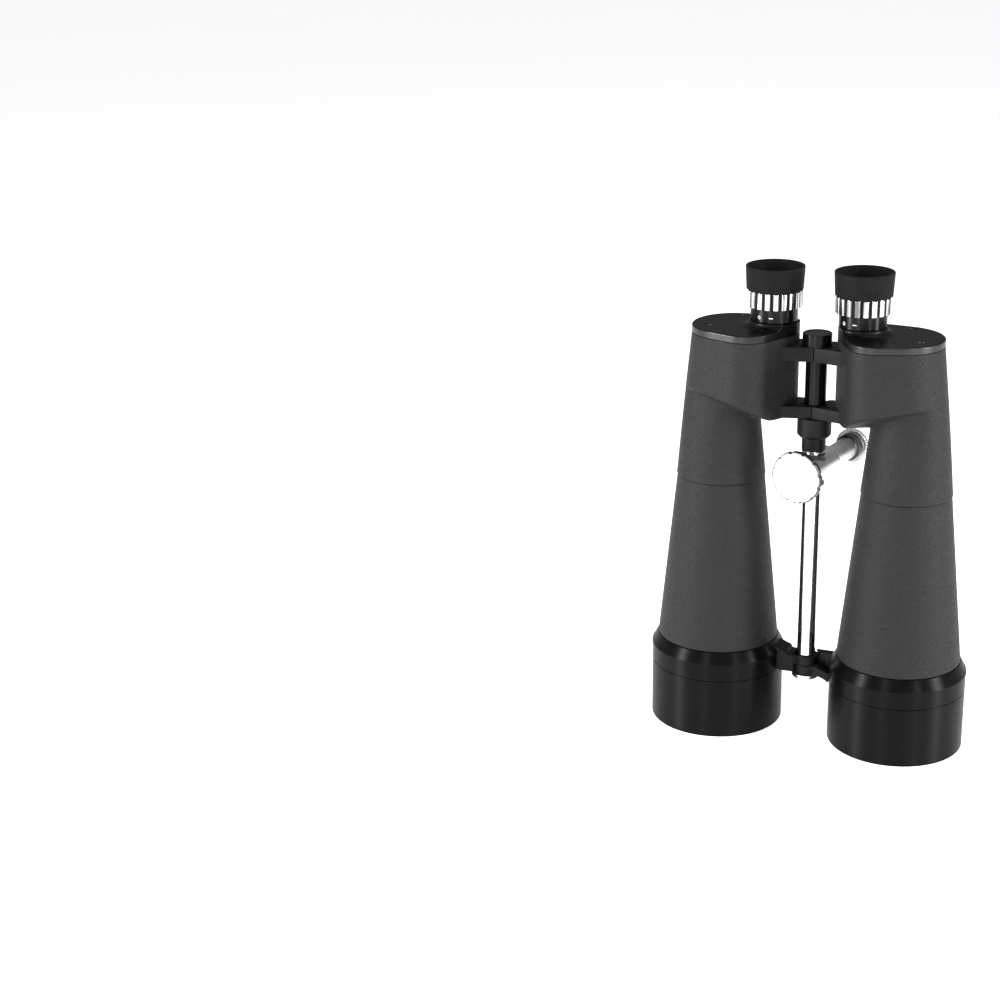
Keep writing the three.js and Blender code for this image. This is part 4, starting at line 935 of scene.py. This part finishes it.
brass = Finish("turned_brass", Metallic=1.0)
brass.tones(brass.noise(0.002), (0.52, 0.36, 0.13), (0.62, 0.45, 0.18),
            brass.noise(0.0006, 4.0), 0.22, 0.38)
INSERT_RADIUS, INSERT_FROM, THREAD_PITCH, THREAD_CREST, THREAD_DEPTH = 5.0, 56.6, 1.27, 3.3, 0.35
depth = np.linspace(INSERT_FROM, FOOT_FAR, 200)
thread = THREAD_CREST + THREAD_DEPTH * (np.abs(((depth - INSERT_FROM) / THREAD_PITCH) % 1 - 0.5) * 2)
insert_profile = np.concatenate([[(INSERT_RADIUS, FOOT_FAR), (INSERT_RADIUS, INSERT_FROM)],
                                 np.stack([thread, depth], -1)])
make_piece("brass_insert", [along_post(turned(insert_profile, 64))], brass, "post",
           ["thread_insert"])

nylon = Finish("black_nylon", Specular_IOR_Level=0.45)
nylon.tones(nylon.noise(0.002), (0.025, 0.025, 0.025), (0.035, 0.035, 0.036),
            nylon.noise(0.001), 0.35, 0.5)
refinish("post_liner", nylon)
refinish("clamp_pad", brass)

# --- Clamp knob. --------------------------------------------------------------------------------
# A large turned knob with a plain bright face and a scalloped edge drives a steel stud, which
# presses a brass pad on the rod.

bright = Finish("bright_turned_aluminium", Specular_IOR_Level=0.5)
# Painted shade: a band round the knob's outer edge is a dark metallic grey, drawing a dark outline round
# the near-white face.
edge = bright.node("ShaderNodeAttribute", attribute_name="painted_edge_shade").outputs["Fac"]
face = bright.ramp(bright.noise(0.006), (0.84, 0.84, 0.84), (0.90, 0.90, 0.90))
bright.feed(Base_Color=bright.mix(edge, face, (0.14, 0.14, 0.143, 1.0)), Metallic=edge,
            Roughness=bright.ramp(bright.noise(0.0006, 4.0), 0.32, 0.42))
bright.bump(bright.noise(0.0004, 3.0), 0.00001, 0.4)

KNOB_RADIUS, KNOB_SCALLOPS, SCALLOP_REACH, SCALLOP_SHARE = 18.3, 12, 1.3, 0.55
knob_outline = rounded(
    [(3.3, -24.0), (3.3, -17.6), (8.5, -17.6), (8.5, -21.6), (KNOB_RADIUS, -21.6), (KNOB_RADIUS, -25.8),
     (0.02, -25.8), (0.02, -24.0)], [0.2, 0.3, 0.6, 1.0, 0.6, 1.0, 0, 0], 5)
turn = np.linspace(0, 2 * np.pi, 80 * KNOB_SCALLOPS, endpoint=False)
phase = np.abs(((turn * KNOB_SCALLOPS / (2 * np.pi)) % 1) - 0.5) * (2 * np.pi * KNOB_RADIUS / KNOB_SCALLOPS)
scallop = SCALLOP_SHARE * np.sqrt(np.clip(SCALLOP_REACH ** 2 - phase ** 2, 0, None))
knob_r = knob_outline[:, :1] - scallop * (knob_outline[:, :1] > KNOB_RADIUS - 2.3)
knob_grid = np.stack([knob_r * np.cos(turn), knob_r * np.sin(turn),
                      np.repeat(knob_outline[:, 1:], len(turn), 1)], -1)
knob = make_piece("bright_knob", [along_post(knob_grid)], bright, "clamp_handle",
                  ["clamp_knob"])
# Painted edge shade: 1 from about 17.3 mm out on the knob's radius, 0 on the face.
edge_shade = np.clip((knob_outline[:, 0] - KNOB_RADIUS + 1.3) / 0.3, 0, 1)
knob.data.attributes.new("painted_edge_shade", "FLOAT", "POINT").data.foreach_set(
    "value", np.repeat(edge_shade, len(turn)))
stud_profile = rounded([(0.02, -23.7), (3.0, -23.7), (3.0, -10.5), (0.02, -10.5)], [0, 0.3, 0.3, 0], 4)
make_piece("clamp_screw_stud", [(along_post(turned(stud_profile, 64)), False)], spring_steel,
           "clamp_handle", ["clamp_stud"])

# --- Floor, light and camera. -------------------------------------------------------------------
# A plain white floor, glowing a little so that it stays white, under a dim white sky. Two tall soft
# lamps and two narrow strips draw the upright highlights, and one lamp hangs above.

floor_finish = Finish("white_floor", Roughness=0.9, Specular_IOR_Level=0.1, Emission_Strength=0.74,
                      Emission_Color=(1.0, 1.0, 1.0, 1.0))
floor_finish.feed(Base_Color=floor_finish.ramp(floor_finish.noise(0.5), 0.88, 0.90))
floor_mesh = bpy.data.meshes.new("floor")
FLOOR_REACH = 30.0
floor_mesh.from_pydata([(x * FLOOR_REACH, y * FLOOR_REACH, 0)
                        for x, y in ((-1, -1), (1, -1), (1, 1), (-1, 1))], [], [(0, 1, 2, 3)])
floor_mesh.materials.append(floor_finish.material)
floor = bpy.data.objects.new("floor", floor_mesh)
bpy.context.scene.collection.objects.link(floor)

world = bpy.data.worlds.new("soft_white_sky")
world.use_nodes = True
world.node_tree.nodes["Background"].inputs["Color"].default_value = (1.0, 1.0, 1.0, 1.0)
world.node_tree.nodes["Background"].inputs["Strength"].default_value = 0.22
bpy.context.scene.world = world
bpy.context.scene.view_settings.view_transform = "Standard"


def lamp(name, place, target, width, height, power):
    """A soft rectangular lamp at a place, turned to face its target."""
    data = bpy.data.lights.new(name, "AREA")
    data.shape, data.size, data.size_y, data.energy = "RECTANGLE", width, height, power
    made = bpy.data.objects.new(name, data)
    bpy.context.scene.collection.objects.link(made)
    made.location = place
    made.rotation_euler = (Vector(target) - Vector(place)).to_track_quat("-Z", "Y").to_euler()
    return made


for name, x, y, width, power in (("left_softbox", -1.26, -1.04, 0.22, 38.0),
                                 ("right_softbox", 1.62, -0.19, 0.22, 38.0),
                                 ("left_front_strip", -0.18, -1.62, 0.07, 8.0),
                                 ("right_front_strip", 1.20, -1.08, 0.07, 8.0)):
    lamp(name, (x, y, 0.65), (0.0, 0.0, 0.45), width, 1.2, power)
lamp("top_softbox", (0.1, 0.3, 1.5), (0.0, 0.0, 0.2), 0.9, 0.9, 8.0)

HEADING, LOOK_DOWN, TILT = math.radians(23.38), math.radians(19.12), math.radians(1.03)
CAMERA_PLACE = (0.31566, -1.28545, 0.62437)
camera_data = bpy.data.cameras.new("camera")
camera_data.lens, camera_data.sensor_width = 71.087, 36.0
camera_data.clip_start, camera_data.clip_end = 0.05, 100.0
camera = bpy.data.objects.new("camera", camera_data)
bpy.context.scene.collection.objects.link(camera)
camera.matrix_world = (Matrix.Translation(CAMERA_PLACE) @ Matrix.Rotation(HEADING, 4, "Z")
                       @ Matrix.Rotation(math.pi / 2 - LOOK_DOWN, 4, "X") @ Matrix.Rotation(-TILT, 4, "Z"))
bpy.context.scene.camera = camera
